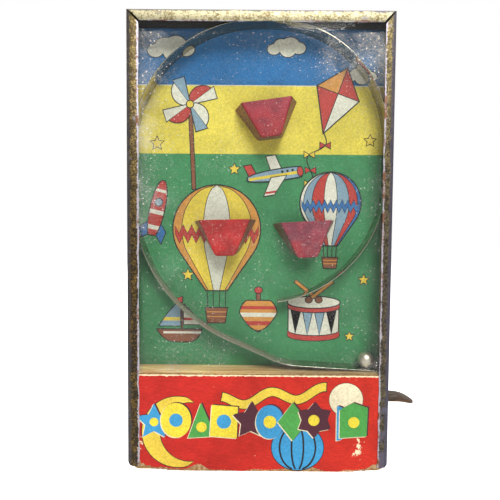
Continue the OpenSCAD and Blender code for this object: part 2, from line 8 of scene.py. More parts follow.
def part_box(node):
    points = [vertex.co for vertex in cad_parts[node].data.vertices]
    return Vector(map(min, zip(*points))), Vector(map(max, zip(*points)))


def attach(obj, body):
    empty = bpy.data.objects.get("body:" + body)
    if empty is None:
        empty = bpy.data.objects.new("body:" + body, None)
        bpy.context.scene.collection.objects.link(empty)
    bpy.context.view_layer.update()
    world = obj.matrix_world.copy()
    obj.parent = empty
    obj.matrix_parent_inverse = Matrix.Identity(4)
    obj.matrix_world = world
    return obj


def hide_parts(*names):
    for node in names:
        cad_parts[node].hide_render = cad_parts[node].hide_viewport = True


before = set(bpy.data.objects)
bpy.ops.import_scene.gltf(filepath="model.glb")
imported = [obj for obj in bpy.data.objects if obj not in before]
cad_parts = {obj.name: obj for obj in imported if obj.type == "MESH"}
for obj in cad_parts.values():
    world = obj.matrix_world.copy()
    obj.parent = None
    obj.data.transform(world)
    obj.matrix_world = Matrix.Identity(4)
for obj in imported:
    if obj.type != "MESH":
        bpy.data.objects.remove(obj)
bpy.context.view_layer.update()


# The back board is grey strawboard, pressed from straw pulp and knife-cut. It gives
# a flat, matt face with short darker fibres. It lies under the edging's back lips.
def colour(text):
    """Linear colour of an sRGB hex value."""
    parts = [int(text[i:i + 2], 16) / 255 for i in (1, 3, 5)]
    return [p / 12.92 if p < 0.0405 else ((p + 0.055) / 1.055) ** 2.4 for p in parts] + [1.0]


def add(made, kind, settings):
    """A shader node: each setting is a property, an input's value, or the socket or node that feeds it."""
    node = made.node_tree.nodes.new("ShaderNode" + kind)
    for key, value in settings.items():
        if isinstance(value, bpy.types.Node):
            value = next(socket for socket in value.outputs if socket.enabled)
        if isinstance(key, str) and key not in node.inputs:
            setattr(node, key, value)
        elif isinstance(value, bpy.types.NodeSocket):
            made.node_tree.links.new(value, node.inputs[key])
        else:
            node.inputs[key].default_value = value
    return node


def started(name):
    """An empty material and its Object coordinates."""
    made = bpy.data.materials.new(name)
    made.use_nodes = True
    made.node_tree.nodes.clear()
    return made, add(made, "TexCoord", {}).outputs["Object"]


def placed(name, data):
    """An object in the scene that shows a mesh, lamp or camera."""
    obj = bpy.data.objects.new(name, data)
    bpy.context.collection.objects.link(obj)
    return obj


def smoothed(mesh, sharp):
    """Smooths a mesh's faces, save over edges that turn by more than an angle in degrees."""
    mesh.polygons.foreach_set("use_smooth", [True] * len(mesh.polygons))
    mesh.set_sharp_from_angle(angle=math.radians(sharp))


def settle(obj, sharp=35):
    """Applies a piece's modifiers, then smooths its faces up to an angle."""
    graph = bpy.context.evaluated_depsgraph_get()
    mesh = bpy.data.meshes.new_from_object(obj.evaluated_get(graph))
    obj.modifiers.clear()
    obj.data = mesh
    smoothed(mesh, sharp)


def fitted(obj, body, slot, finish, *nodes):
    """Gives a piece its finish, its body and the nodes that it stands for."""
    obj.data.materials.clear()
    obj.data.materials.append(finish)
    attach(obj, body)
    if nodes:
        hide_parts(*nodes)


def eased(node, name, width):
    """A CAD node's shape with its loose triangles joined and its edges rounded by width, in mm."""
    work = bmesh.new()
    work.from_mesh(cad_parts[node].data)
    bmesh.ops.remove_doubles(work, verts=work.verts, dist=2e-6)
    flat = math.radians(0.5)
    bmesh.ops.dissolve_limit(work, angle_limit=flat, verts=work.verts, edges=work.edges)
    mesh = bpy.data.meshes.new(name)
    work.to_mesh(mesh)
    work.free()
    obj = placed(name, mesh)
    edge = obj.modifiers.new("eased", "BEVEL")
    edge.width = width / 1000
    edge.segments = 2
    edge.angle_limit = math.radians(40)
    settle(obj)
    return obj


def pulp_board(name, base, dark, fibre_mm=1.4):
    """Pressed strawboard, which looks flat and matt: its fibres, drawn coarser than real ones so that they
    show, over stains of 28 mm, with a fine tooth."""
    made, place = started(name)
    fibre = add(made, "TexNoise", {"Vector": place, "Scale": 1000 / fibre_mm, "Detail": 6,
                                   "Roughness": 0.7})
    stain = add(made, "TexNoise", {"Vector": place, "Scale": 1000 / 28, "Detail": 4})
    fleck = add(made, "MapRange", {"Value": fibre, "From Min": 0.42, "From Max": 0.68})
    tone = add(made, "Mix", {"data_type": "RGBA", 0: fleck, 6: colour(dark), 7: colour(base)})
    dirt = add(made, "MapRange", {"Value": stain, "From Min": 0.35, "From Max": 0.7, "To Min": 0.72,
                                  "To Max": 1.05})
    aged = add(made, "Mix", {"data_type": "RGBA", "blend_type": "MULTIPLY", 0: 1.0, 6: tone, 7: dirt})
    bump = add(made, "Bump", {"Height": fibre, "Strength": 0.35, "Distance": 0.0002})
    shader = add(made, "BsdfPrincipled", {"Base Color": aged, "Roughness": 0.88, "Normal": bump})
    add(made, "OutputMaterial", {"Surface": shader})
    return made


grey_strawboard = pulp_board("grey strawboard", "#c4b79e", "#93866f", 0.9)
tan_strawboard = pulp_board("tan strawboard", "#b98e55", "#8a6238")
torn_strawboard = pulp_board("torn strawboard", "#dcbc8e", "#9c6f40")
back = eased("back_board", "back_board_card", 0.35)
fitted(back, "case", "back_card", grey_strawboard, "back_board")

# The side walls are thin strawboard behind the edging; the playfield board that the
# print is pasted on is the same stuff. All have cut edges.
for node in ("left_wall", "right_wall_upper", "right_wall_lower", "playfield_board"):
    fitted(eased(node, node + "_card", 0.15), "case", "strawboard", tan_strawboard, node)


# The rails, battens and mechanism block are raw softwood, sawn to strips. Pine gives a
# pale yellow ground with browner growth lines along each strip, gone dull with age.
def sawn_pine(name, base, grain, along, darkening=0.0):
    """Raw pine, which looks dull and striped: growth lines 1.6 mm apart, stretched 14 times along one axis,
    mixed towards a dark brown by a share that grows towards the right."""
    made, place = started(name)
    stretch = [1.0, 1.0, 1.0]
    stretch["XYZ".index(along)] = 1 / 14
    run = add(made, "Mapping", {"Vector": place, "Scale": stretch})
    lines = add(made, "TexNoise", {"Vector": run, "Scale": 1000 / 1.6, "Detail": 5, "Roughness": 0.65})
    ring = add(made, "MapRange", {"Value": lines, "From Min": 0.4, "From Max": 0.62})
    tone = add(made, "Mix", {"data_type": "RGBA", 0: ring, 6: colour(grain), 7: colour(base)})
    parts = add(made, "SeparateXYZ", {"Vector": place})
    right = add(made, "MapRange", {"Value": parts.outputs["X"], "From Min": -0.03, "From Max": 0.03,
                                   "To Min": 0.0, "To Max": darkening})
    darkened = add(made, "Mix", {"data_type": "RGBA", 0: right, 6: tone, 7: colour("#2d2116")})
    bump = add(made, "Bump", {"Height": lines, "Strength": 0.3, "Distance": 0.0002})
    shader = add(made, "BsdfPrincipled", {"Base Color": darkened, "Roughness": 0.8, "Normal": bump})
    add(made, "OutputMaterial", {"Surface": shader})
    return made


pine_across = sawn_pine("pine sawn along X", "#d8bd82", "#a97f48", "X")
pine_upright = sawn_pine("pine sawn along Z", "#cfae74", "#a27a46", "Z")
# The cross rail's pine is drawn darker towards its right end.
pine_darker_right = sawn_pine("pine darker towards the right behind the pane", "#ffdb94", "#cf9b5c", "X", 0.58)
fitted(eased("bottom_rail", "bottom_rail_strip", 0.3), "case", "pine", pine_across, "bottom_rail")
fitted(eased("cross_rail", "cross_rail_strip", 0.3), "case", "pine", pine_darker_right, "cross_rail")
# The top rail's pine is painted near black: painted shade under the top lip.
pine_painted_with_shade = sawn_pine("pine painted near black as shade under the lip", "#1c1a17", "#100f0e", "X")
fitted(eased("top_rail", "top_rail_strip", 0.3), "case", "pine", pine_painted_with_shade, "top_rail")
for node in ("left_batten", "right_batten", "mechanism_block"):
    fitted(eased(node, node + "_strip", 0.3), "case", "pine", pine_upright, node)

# The playfield's paper is printed in three flat bands of ink, blue over yellow over
# green, with a thin bare line between the first two, and has yellowed and rubbed.
BLUE_FOOT = 195.9
YELLOW_FOOT = 160.8
INK_BLUE = "#1a6fae"
INK_YELLOW = "#f1d852"
INK_GREEN = "#428f5a"
BARE_PAPER = "#e9ddb8"
BARE_LINE = 0.5
PAPER_FRONT = 1000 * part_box("playfield_paper")[0][1]


def rubbed(made, place, ink, bare, worn):
    """Ink on old paper: mottled by a noise of 0.8 mm, coarser than real grain so that it shows, stained by
    one of 24 mm, and rubbed through to the bare paper in specks of 0.9 mm where that noise is over worn."""
    mottle = add(made, "TexNoise", {"Vector": place, "Scale": 1000 / 0.8, "Detail": 4, "Roughness": 0.7})
    stain = add(made, "TexNoise", {"Vector": place, "Scale": 1000 / 24, "Detail": 5, "Roughness": 0.6})
    speck = add(made, "TexNoise", {"Vector": place, "Scale": 1000 / 0.9, "Detail": 5, "Roughness": 0.7})
    grain = add(made, "MapRange", {"Value": mottle, "From Min": 0.3, "From Max": 0.7, "To Min": 0.72,
                                   "To Max": 1.18})
    shade = add(made, "MapRange", {"Value": stain, "From Min": 0.3, "From Max": 0.7, "To Min": 0.76,
                                   "To Max": 1.06})
    both = add(made, "Math", {"operation": "MULTIPLY", 0: grain, 1: shade})
    toned = add(made, "Mix", {"data_type": "RGBA", "blend_type": "MULTIPLY", 0: 1.0, 6: ink, 7: both})
    bald = add(made, "MapRange", {"Value": speck, "From Min": worn, "From Max": worn + 0.05})
    return add(made, "Mix", {"data_type": "RGBA", 0: bald, 6: toned, 7: colour(bare)})


# Flat litho print is half matt, and its bands meet in a line that wanders by a tenth of a millimetre.
banded_print, place = started("banded print on paper")
height = add(banded_print, "SeparateXYZ", {"Vector": place}).outputs["Z"]
wobble = add(banded_print, "TexNoise", {"Vector": place, "Scale": 1000 / 3, "Detail": 2})
shift = add(banded_print, "MapRange", {"Value": wobble, "To Min": -0.0001, "To Max": 0.0001})
level = add(banded_print, "Math", {"operation": "ADD", 0: height, 1: shift})
bands = colour(INK_GREEN)
for foot, ink in ((YELLOW_FOOT, INK_YELLOW), (BLUE_FOOT - BARE_LINE, BARE_PAPER), (BLUE_FOOT, INK_BLUE)):
    above = add(banded_print, "MapRange", {"Value": level, "From Min": foot / 1000 - 0.0001,
                                           "From Max": foot / 1000 + 0.0001})
    bands = add(banded_print, "Mix", {"data_type": "RGBA", 0: above, 6: bands, 7: colour(ink)})
toned = rubbed(banded_print, place, bands, BARE_PAPER, 0.74)
shader = add(banded_print, "BsdfPrincipled", {"Base Color": toned, "Roughness": 0.62,
                                              "Specular IOR Level": 0.35})
add(banded_print, "OutputMaterial", {"Surface": shader})
paper = eased("playfield_paper", "playfield_print_sheet", 0.03)

# The paper runs on unbroken past the right track's free end, where the CAD sheet has a slot.
PAST_TRACK = Vector((8.1, PAPER_FRONT + 0.07, 85.95))
PATCH_SIZE = Vector((4.6, 0.16, 2.9))
whole = bmesh.new()
whole.from_mesh(paper.data)
for corner in bmesh.ops.create_cube(whole, size=1)["verts"]:
    corner.co = (PAST_TRACK + corner.co * PATCH_SIZE) / 1000
whole.to_mesh(paper.data)
whole.free()
fitted(paper, "case", "field_print", banded_print, "playfield_paper")

# The pictures on the playfield are plain toys, litho printed on its paper in seven flat
# inks over a black key line. Each ink stands a hundredth of a millimetre in front of what
# lies under it, so that one covers another as it does in print.
INKS = {"key": "#1d1b1a", "white": "#ece5d2", "red": "#c63a31", "orange": "#dd9640",
        "yellow": "#efcf45", "brown": "#8d4f2e", "sky": "#8ba6b8", "blue": "#2f6fae"}


def ellipse(x, z, wide, tall, start=0, stop=360, count=56):
    """Points round an ellipse about x, z from one angle to another, in degrees: wide cos, tall sin."""
    turn = np.radians(np.linspace(start, stop, count, endpoint=abs(stop - start) < 360))
    return np.stack([x + wide * np.cos(turn), z + tall * np.sin(turn)], 1)


def star(x, z, points, outer, inner):
    """Corners of a star from its top one, its outer and inner corners taking turns round a circle."""
    turn = np.radians(90 + np.arange(2 * points) * 180 / points)
    reach = np.where(np.arange(2 * points) % 2, inner, outer)
    return np.stack([x + reach * np.cos(turn), z + reach * np.sin(turn)], 1)


def swollen(shape, by):
    """An outline moved outwards by a distance, each corner along the mean of its two sides' normals."""
    area = np.sum(shape[:, 0] * np.roll(shape[:, 1], -1) - np.roll(shape[:, 0], -1) * shape[:, 1])
    side = np.roll(shape, -1, 0) - shape
    side /= np.maximum(np.linalg.norm(side, axis=1, keepdims=True), 1e-9)
    out = np.stack([side[:, 1], -side[:, 0]], 1) * np.sign(area)
    mean = out + np.roll(out, 1, 0)
    square = np.maximum(np.sum(mean * mean, 1, keepdims=True), 0.9)
    return shape + 2 * by * mean / square


def mirrored(half):
    """A closed outline from its right half: that half, then the same points mirrored and run backwards."""
    return np.concatenate([half, (half * [-1, 1])[::-1]])


def leaned(angle):
    """The matrix that turns rows of x, z by an angle in radians."""
    return np.array([[math.cos(angle), math.sin(angle)], [-math.sin(angle), math.cos(angle)]])


def stroke(line, width):
    """Outline of a line drawn with a pen: its points moved to each side by half the width."""
    line = np.asarray(line, float)
    along = np.gradient(line, axis=0)
    along /= np.linalg.norm(along, axis=1, keepdims=True)
    side = np.stack([-along[:, 1], along[:, 0]], 1) * width / 2
    return np.concatenate([line + side, (line - side)[::-1]])


def keyed(shape, ink, key=0.55):
    """A shape in an ink over the same shape swollen, in black."""
    return [(swollen(shape, key), "key"), (shape, ink)]


def inked(name, layers, face, finish, slot, step=0.012):
    """One mesh of flat printed shapes: each is a prism that starts 0.02 mm behind the printed face and ends
    one step in front of all those that its box overlaps."""
    points, faces, tints, boxes, base = [], [], [], [], 0
    for shape, ink in layers:
        n = len(shape)
        low, high = shape.min(0), shape.max(0)
        under = [level for a, b, level in boxes if np.all(a < high) and np.all(low < b)]
        level = 1 + max(under, default=0)
        boxes.append((low, high, level))
        depth = face - step * level
        front = np.stack([shape[:, 0], np.full(n, depth), shape[:, 1]], 1)
        rear = front + [0, face + 0.02 - depth, 0]
        points.append(np.concatenate([front, rear]))
        ring = np.arange(n)
        onward = np.roll(ring, -1)
        faces.append((base + ring).tolist())
        faces.append((base + n + ring[::-1]).tolist())
        faces += (base + np.stack([ring, ring + n, onward + n, onward], 1)).tolist()
        tints.append(np.tile(colour(INKS[ink]), (2 * n, 1)))
        base += 2 * n
    mesh = bpy.data.meshes.new(name)
    mesh.from_pydata(np.concatenate(points) / 1000, [], faces)
    tint = mesh.color_attributes.new("ink", "FLOAT_COLOR", "POINT")
    tint.data.foreach_set("color", np.concatenate(tints).ravel())
    work = bmesh.new()
    work.from_mesh(mesh)
    bmesh.ops.recalc_face_normals(work, faces=work.faces)
    work.to_mesh(mesh)
    work.free()
    fitted(placed(name, mesh), "case", slot, finish)


def balloon(x, z, size, inks, gores):
    """A balloon: a circle drawn down in straight lines to a neck, cut into gores whose edges are set shares
    of its half width, with a zigzag belt, four ropes and a basket."""
    turn = np.radians(np.linspace(-38, 218, 60))
    crown = np.stack([size * np.cos(turn), size * np.sin(turn)], 1)
    neck, low = 0.24 * size, 1.42 * size
    heights = np.linspace(-low, size * 0.998, 40)
    slope = (crown[0, 0] - neck) / (crown[0, 1] + low)
    half = np.where(heights < crown[0, 1], neck + (heights + low) * slope,
                    np.sqrt(np.maximum(size ** 2 - heights ** 2, 0)))
    layers = keyed(np.concatenate([crown, [[-neck, -low], [neck, -low]]]) + [x, z], inks[0], 0.7)
    edges = np.sin(np.linspace(-np.pi / 2, np.pi / 2, gores + 1))
    for i in range(gores):
        left = np.stack([edges[i] * half, heights], 1)
        right = np.stack([edges[i + 1] * half, heights], 1)
        layers.append((np.concatenate([right, left[::-1]]) + [x, z], inks[i % len(inks)]))
    for edge in edges[1:-1]:
        layers.append((stroke(np.stack([edge * half, heights], 1) + [x, z], 0.35), "key"))
    waist = np.linspace(-1, 1, 21)
    wave = np.stack([waist * size * 0.97, np.where(np.arange(21) % 2, -0.12, 0.08) * size], 1)
    belt = np.concatenate([wave, (wave - [0, 0.2 * size])[::-1] * [0.985, 1]])
    layers += keyed(belt + [x, z], inks[-1], 0.3)
    basket_top = z - low - 0.42 * size
    for side in (-1, -0.35, 0.35, 1):
        rope = [[x + side * 0.22 * size, z - low], [x + side * 0.2 * size, basket_top]]
        layers.append((stroke(rope, 0.4), "key"))
    basket = np.array([[-0.2, -0.34], [0.2, -0.34], [0.25, 0], [-0.25, 0]]) * size + [x, basket_top]
    layers += keyed(basket, "brown", 0.5)
    for row in (0.09, 0.2):
        weave = np.array([[-0.22, -row], [0.22, -row]]) * size + [x, basket_top]
        layers.append((stroke(weave, 0.5), "orange"))
    return layers


def cloud(x, z, size):
    """A cloud: five circles in a row with a flat foot, first all swollen in black, then white."""
    puffs = [(-1.1, 0, 0.5), (-0.5, 0.3, 0.62), (0.2, 0.36, 0.7), (0.85, 0.1, 0.55), (0, -0.1, 0.6)]
    discs = [ellipse(x + a * size, z + b * size, r * size, r * size * 0.8) for a, b, r in puffs]
    return [(swollen(d, 0.45), "key") for d in discs] + [(d, "white") for d in discs]


def kite(x, z, size, lean):
    """A kite: a diamond in four triangles over two spars, with bows along a tail that is a sine wave."""
    turn = leaned(lean)
    tips = np.array([[0, 1.1], [0.75, 0.2], [0, -1.2], [-0.75, 0.2]]) * size
    middle = np.array([0, 0.2]) * size
    layers = keyed(tips[::-1] @ turn + [x, z], "white", 0.6)
    for i, ink in enumerate(("red", "white", "red", "orange")):
        part = np.array([middle, tips[(i + 1) % 4], tips[i]]) @ turn + [x, z]
        layers.append((part, ink))
    for a, b in ((0, 2), (1, 3)):
        layers.append((stroke(np.array([tips[a], tips[b]]) @ turn + [x, z], 0.45), "key"))
    run = np.linspace(0, 1, 40)
    tail = np.stack([0.22 * size * np.sin(run * 9), -1.2 * size - run * 1.9 * size], 1) @ turn + [x, z]
    layers.append((stroke(tail, 0.5), "key"))
    for i, ink in zip((8, 18, 28, 37), ("red", "yellow", "red", "yellow")):
        for side in (-1, 1):
            bow = np.array([[0, 0], [side * 2.6, 1.4], [side * 2.6, -1.4]]) + tail[i]
            layers += keyed(bow if side < 0 else bow[::-1], ink, 0.35)
    return layers


def windmill(x, z, size, inks):
    """A paper windmill: a stick, then four sails a quarter turn apart, each a half circle and a fold."""
    stick = stroke([[x, z], [x + 0.15 * size, z - 3.1 * size]], 1.6)
    layers = keyed(stick, "brown", 0.45)
    for i in range(4):
        turn = leaned(math.radians(90 * i + 20))
        curve = ellipse(0.5 * size, 0, 0.5 * size, 0.5 * size, 0, 180, 20)
        sail = np.concatenate([curve, [[size, -0.12 * size]]])
        layers += keyed(sail @ turn + [x, z], inks[i % 2], 0.5)
        fold = np.array([[0, 0], [size, -0.12 * size], [size * 1.02, 0.3 * size]])
        layers += keyed(fold @ turn + [x, z], "white" if inks[i % 2] != "white" else "sky", 0.4)
    return layers + keyed(ellipse(x, z, 1.7, 1.7, count=24), "yellow", 0.5)


def drum(x, z, wide, tall, inks):
    """A toy drum: a barrel between two half ellipses, laced in zigzags, with two sticks on its head."""
    sag = 0.22 * wide

    def laced(share, level):
        """A point on the barrel at a share of its half width, on the curve of its head or its foot."""
        return [x + share * wide * 0.97, z - level - sag * math.sqrt(max(1 - share ** 2, 0)) * 0.9]

    foot = ellipse(x, z - tall, wide, sag, 180, 360, 24)
    barrel = np.concatenate([foot, [[x + wide, z], [x - wide, z]]])
    layers = keyed(barrel, inks[0], 0.6)
    posts = np.linspace(-1, 1, 9)
    for i in range(0, 8, 2):
        left, low, right = laced(posts[i], 0), laced(posts[i + 1], tall), laced(posts[i + 2], 0)
        layers.append((np.array([low, right, left]), inks[1]))
        layers.append((stroke([left, low, right], 0.6), "key"))
    for level in (0, tall):
        hoop = ellipse(x, z - level, wide * 1.04, sag, 180, 360, 24)
        hoop = np.concatenate([hoop, (hoop - [0, 0.16 * tall])[::-1]])
        layers += keyed(hoop[::-1], inks[2], 0.45)
    layers += keyed(ellipse(x, z, wide * 1.04, sag), "white", 0.6)
    for side in (-1, 1):
        tip = [x - side * 0.2 * wide, z + 0.1 * wide]
        rod = stroke([tip, [x + side * 0.75 * wide, z + 0.85 * wide]], 1.5)
        layers += keyed(rod, "orange", 0.4) + keyed(ellipse(*tip, 1.7, 1.5, count=20), "brown", 0.4)
    return layers


def spinner(x, z, size, inks):
    """A spinning top: a body whose half width is a power of its height below and part of an ellipse above,
    in stripes, with a knobbed stem."""
    rise = np.linspace(-1, 0.72, 36)
    half = size * np.where(rise < 0, (1 + rise) ** 0.55, np.sqrt(np.maximum(1 - rise ** 2 / 0.9, 0)))
    sides = np.stack([half, rise * size * 0.95], 1)
    stem = np.array([[0.09, 0.6], [0.09, 1.25], [-0.09, 1.25], [-0.09, 0.6]]) * size + [x, z]
    knob = ellipse(x, z + 1.28 * size, 0.2 * size, 0.16 * size)
    layers = keyed(stem, "brown", 0.45) + keyed(knob, "red", 0.45)
    layers += keyed(mirrored(sides) + [x, z], inks[0], 0.6)
    for low, high, ink in ((6, 12, 1), (16, 22, 2), (25, 30, 1)):
        layers.append((mirrored(sides[low:high]) + [x, z], inks[ink]))
    return layers


def rocket(x, z, size, lean):
    """A toy rocket: half an ellipse on each side, with three bands, a round window and two fins."""
    turn = leaned(lean)
    layers = []
    for side in (-1, 1):
        fin = np.array([[0.1, -0.35], [0.5, -0.8], [0.42, -1.25], [0.1, -0.9]]) * [side * size, size]
        layers += keyed(fin @ turn + [x, z], "blue", 0.5)
    rise = np.linspace(-1, 1.1, 40)
    half = 0.27 * size * np.sqrt(np.maximum(1 - (rise / 1.12) ** 2, 0.02))
    sides = np.stack([half, rise * size], 1)
    layers += keyed(mirrored(sides) @ turn + [x, z], "red", 0.6)
    for low, high in ((4, 8), (15, 19), (31, 34)):
        layers.append((mirrored(sides[low:high]) @ turn + [x, z], "white"))
    pane = ellipse(0, 0.28 * size, 0.13 * size, 0.13 * size, count=24) @ turn + [x, z]
    return layers + keyed(pane, "sky", 0.5)


def glider(x, z, size, lean):
    """A toy plane from its side: a body between parts of two ellipses, with a stripe, a tail, a wing behind
    it and one before it, three windows and a round nose."""
    turn = leaned(lean)
    far_wing = np.array([[-0.1, 0.12], [0.3, 0.12], [0.12, 0.75], [-0.22, 0.75]]) * size
    tail = np.array([[-0.95, 0.02], [-0.68, 0.05], [-0.85, 0.52], [-1.12, 0.52]]) * size
    layers = keyed(far_wing @ turn + [x, z], "white", 0.5) + keyed(tail @ turn + [x, z], "red", 0.5)
    run = np.linspace(-1.05, 1, 40)
    upper = 0.2 * size * np.sqrt(np.maximum(1 - ((run - 0.25) / 1.32) ** 2, 0.02))
    lower = -0.2 * size * np.sqrt(np.maximum(1 - ((run - 0.4) / 1.5) ** 2, 0.02))
    body = np.concatenate([np.stack([run * size, lower], 1), np.stack([run * size, upper], 1)[::-1]])
    layers += keyed(body @ turn + [x, z], "sky", 0.6)
    stripe = np.stack([run * size * 0.96, -0.02 * size + 0 * run], 1) @ turn + [x, z]
    layers.append((stroke(stripe, 0.11 * size), "yellow"))
    nose = ellipse(0.98 * size, 0, 0.1 * size, 0.17 * size, count=24) @ turn + [x, z]
    layers += keyed(nose, "red", 0.45)
    near_wing = np.array([[-0.15, -0.08], [-0.52, -0.72], [-0.14, -0.72], [0.42, -0.08]]) * size
    layers += keyed(near_wing @ turn + [x, z], "white", 0.5)
    band = np.array([[-0.44, -0.58], [-0.46, -0.66], [-0.09, -0.66], [-0.02, -0.58]]) * size
    layers.append((band @ turn + [x, z], "red"))
    for window_x in (0.3, 0.5, 0.7):
        pane = ellipse(window_x * size, 0.09 * size, 0.05 * size, 0.05 * size, count=16) @ turn + [x, z]
        layers.append((pane, "key"))
    return layers


def boat(x, z, size):
    """A toy sailing boat: a hull whose depth falls off as the fourth power of its length, with a stripe, a
    mast, and two sails whose outer edges bow out as a parabola."""
    rise = np.linspace(0, 1, 16)
    layers = keyed(stroke(np.array([[0, -0.3], [0, 0.4], [0, 1.2]]) * size + [x, z], 0.5), "brown", 0.35)
    for side, foot, bow, low, high, ink, band in (
            (-1, 0.95, 0.3, -0.12, 1.05, "sky", "yellow"), (1, 0.85, 0.1, -0.05, 0.85, "white", "red")):
        edge = np.stack([side * (0.08 + foot * (1 - rise) + bow * rise * (1 - rise)),
                         low + (high - low) * rise], 1)
        sail = np.concatenate([edge, [[side * 0.08, high], [side * 0.08, low]]]) * size
        layers += keyed(sail + [x, z], ink, 0.5)
        part = np.concatenate([edge[3:6], [[side * 0.08, edge[5, 1]], [side * 0.08, edge[3, 1]]]]) * size
        layers.append((part + [x, z], band))
    flag = np.array([[0, 1.2], [0, 0.98], [-0.42, 1.09]]) * size
    layers += keyed(flag + [x, z], "red", 0.35)
    dish = np.linspace(-1, 1, 24)
    keel = np.stack([dish * (1 - 0.12 * dish), -0.3 - 0.55 * (1 - dish ** 4)], 1) * size
    layers += keyed(keel + [x, z], "brown", 0.6)
    stripe = np.stack([0.86 * dish, -0.43 + 0 * dish], 1) * size + [x, z]
    layers.append((stroke(stripe, 0.1 * size), "white"))
    return layers


# Litho ink is half matt like its paper, a little glossier, and takes each shape's own ink.
printed_ink, place = started("litho ink with a key line")
tint = add(printed_ink, "Attribute", {"attribute_name": "ink"}).outputs["Color"]
toned = rubbed(printed_ink, place, tint, BARE_PAPER, 0.7)
shader = add(printed_ink, "BsdfPrincipled", {"Base Color": toned, "Roughness": 0.55,
                                             "Specular IOR Level": 0.4})
add(printed_ink, "OutputMaterial", {"Surface": shader})
pictures = cloud(-45, 213, 8) + cloud(14, 214, 6.5) + cloud(52, 200, 5.5)
pictures += windmill(-36, 186, 14, ("red", "white"))
pictures += kite(39, 189, 15, -0.35)
pictures += balloon(-22, 122, 22.5, ("orange", "yellow", "white", "yellow", "orange", "red"), 5)
pictures += balloon(37, 136, 15.5, ("white", "sky", "red", "white", "sky", "red", "blue"), 7)
pictures += drum(29, 84, 13, 15, ("white", "sky", "red"))
pictures += spinner(0, 78, 9.5, ("orange", "red", "white"))
pictures += glider(8, 150, 13.5, 0.16)
pictures += rocket(-53, 132, 13.5, -0.22)
pictures += boat(-40, 72.5, 11.5)
for x, z, size in (
        (-53, 166, 3.4), (-13, 153, 2.8), (57, 168, 3), (-37, 98, 3), (55, 96, 2.8), (48, 66, 2.4)):
    pictures += keyed(star(x, z, 5, size, size * 0.45), "yellow", 0.45)
inked("playfield_pictures", pictures, PAPER_FRONT, printed_ink, "field_print")


# The two ball tracks are strips slit from bright tinplate and stood on edge, bent round
# by hand and held by tabs. Tinplate is a soft grey mirror, dulled and spotted with rust.
def looped(sections, closed=True, capped=True):
    """Points and faces of a tube from its sections, an array of sections by points by 3 in mm: each point
    is joined to the next in its section and to its like in the next section."""
    count, n = sections.shape[:2]
    index = np.arange(count * n).reshape(count, n)
    here, there = index[:-1], index[1:]
    quads = np.stack([here, np.roll(here, -1, 1), np.roll(there, -1, 1), there], -1)
    if not closed:
        quads = quads[:, :-1]
    faces = quads.reshape(-1, 4).tolist()
    if capped:
        faces += [index[0][::-1].tolist(), index[-1].tolist()]
    return sections.reshape(-1, 3), faces


def shaped(name, parts, sharp=35):
    """One object from several pairs of points and faces, with its normals turned outwards."""
    points, faces, base = [], [], 0
    for some, around in parts:
        points.append(some)
        faces += [[base + i for i in face] for face in around]
        base += len(some)
    mesh = bpy.data.meshes.new(name)
    mesh.from_pydata(np.concatenate(points) / 1000, [], faces)
    work = bmesh.new()
    work.from_mesh(mesh)
    bmesh.ops.remove_doubles(work, verts=work.verts, dist=1e-8)
    bmesh.ops.recalc_face_normals(work, faces=work.faces)
    work.to_mesh(mesh)
    work.free()
    smoothed(mesh, sharp)
    return placed(name, mesh)


def rounded_section(wide, deep, radius):
    """Points round a rectangle about its middle, with a quarter circle at each corner."""
    points = []
    for corner in range(4):
        turn = np.radians(90 * corner + np.linspace(0, 90, 4))
        x = (wide / 2 - radius) * (1 if corner in (0, 3) else -1)
        y = (deep / 2 - radius) * (1 if corner < 2 else -1)
        points.append(np.stack([x + radius * np.cos(turn), y + radius * np.sin(turn)], 1))
    return np.concatenate(points)


def along(path, section, y):
    """A section carried along a path in X and Z: its first measure lies across the path, its second along Y
    about y."""
    run = np.gradient(path, axis=0)
    run /= np.linalg.norm(run, axis=1, keepdims=True)
    across = np.stack([run[:, 1], -run[:, 0]], 1)
    flat = path[:, None, :] + across[:, None, :] * section[None, :, :1]
    depth = np.broadcast_to(y + section[None, :, 1], flat.shape[:2])
    return np.stack([flat[..., 0], depth, flat[..., 1]], -1)


def straight(start, stop):
    """Points along a line at about 2 mm, without its last one."""
    start, stop = np.asarray(start), np.asarray(stop)
    count = max(2, int(np.linalg.norm(stop - start) / 2))
    return start + (stop - start) * np.linspace(0, 1, count, endpoint=False)[:, None]


def ledge_at(x):
    """Height of the ledge at x: it falls to the right wall at the ledge's slope."""
    return LEDGE_FOOT + (WALL - x) * math.tan(SLOPE)


# Measures in mm: the tin, the walls' inner faces, where each run starts, and its bends' radii.
TRACK_T = 0.45
TRACK_FRONT = 1000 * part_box("left_track")[0][1]
TRACK_MID = (TRACK_FRONT + PAPER_FRONT) / 2
TRACK_DEEP = PAPER_FRONT - TRACK_FRONT
WALL = 63.5
INNER = WALL - TRACK_T / 2
TOP = 224.2 - TRACK_T / 2
SLOPE_DEG = 3.2
FALL_DEG = 23.9
SLOPE = math.radians(SLOPE_DEG)
FALL = math.radians(FALL_DEG)
LEDGE_FOOT = 50.665
STRIKER = 59.2
LEFT_START, LEFT_BEND, LOW_BEND, DIP_X, DIP_BEND = 2.36, 62, 80, 12.9, 40
RIGHT_START, RIGHT_BEND, CURL_BEND, CURL_TOP, CURL_TURN = 2.44, 57.2, 64, 148.6, -80.8

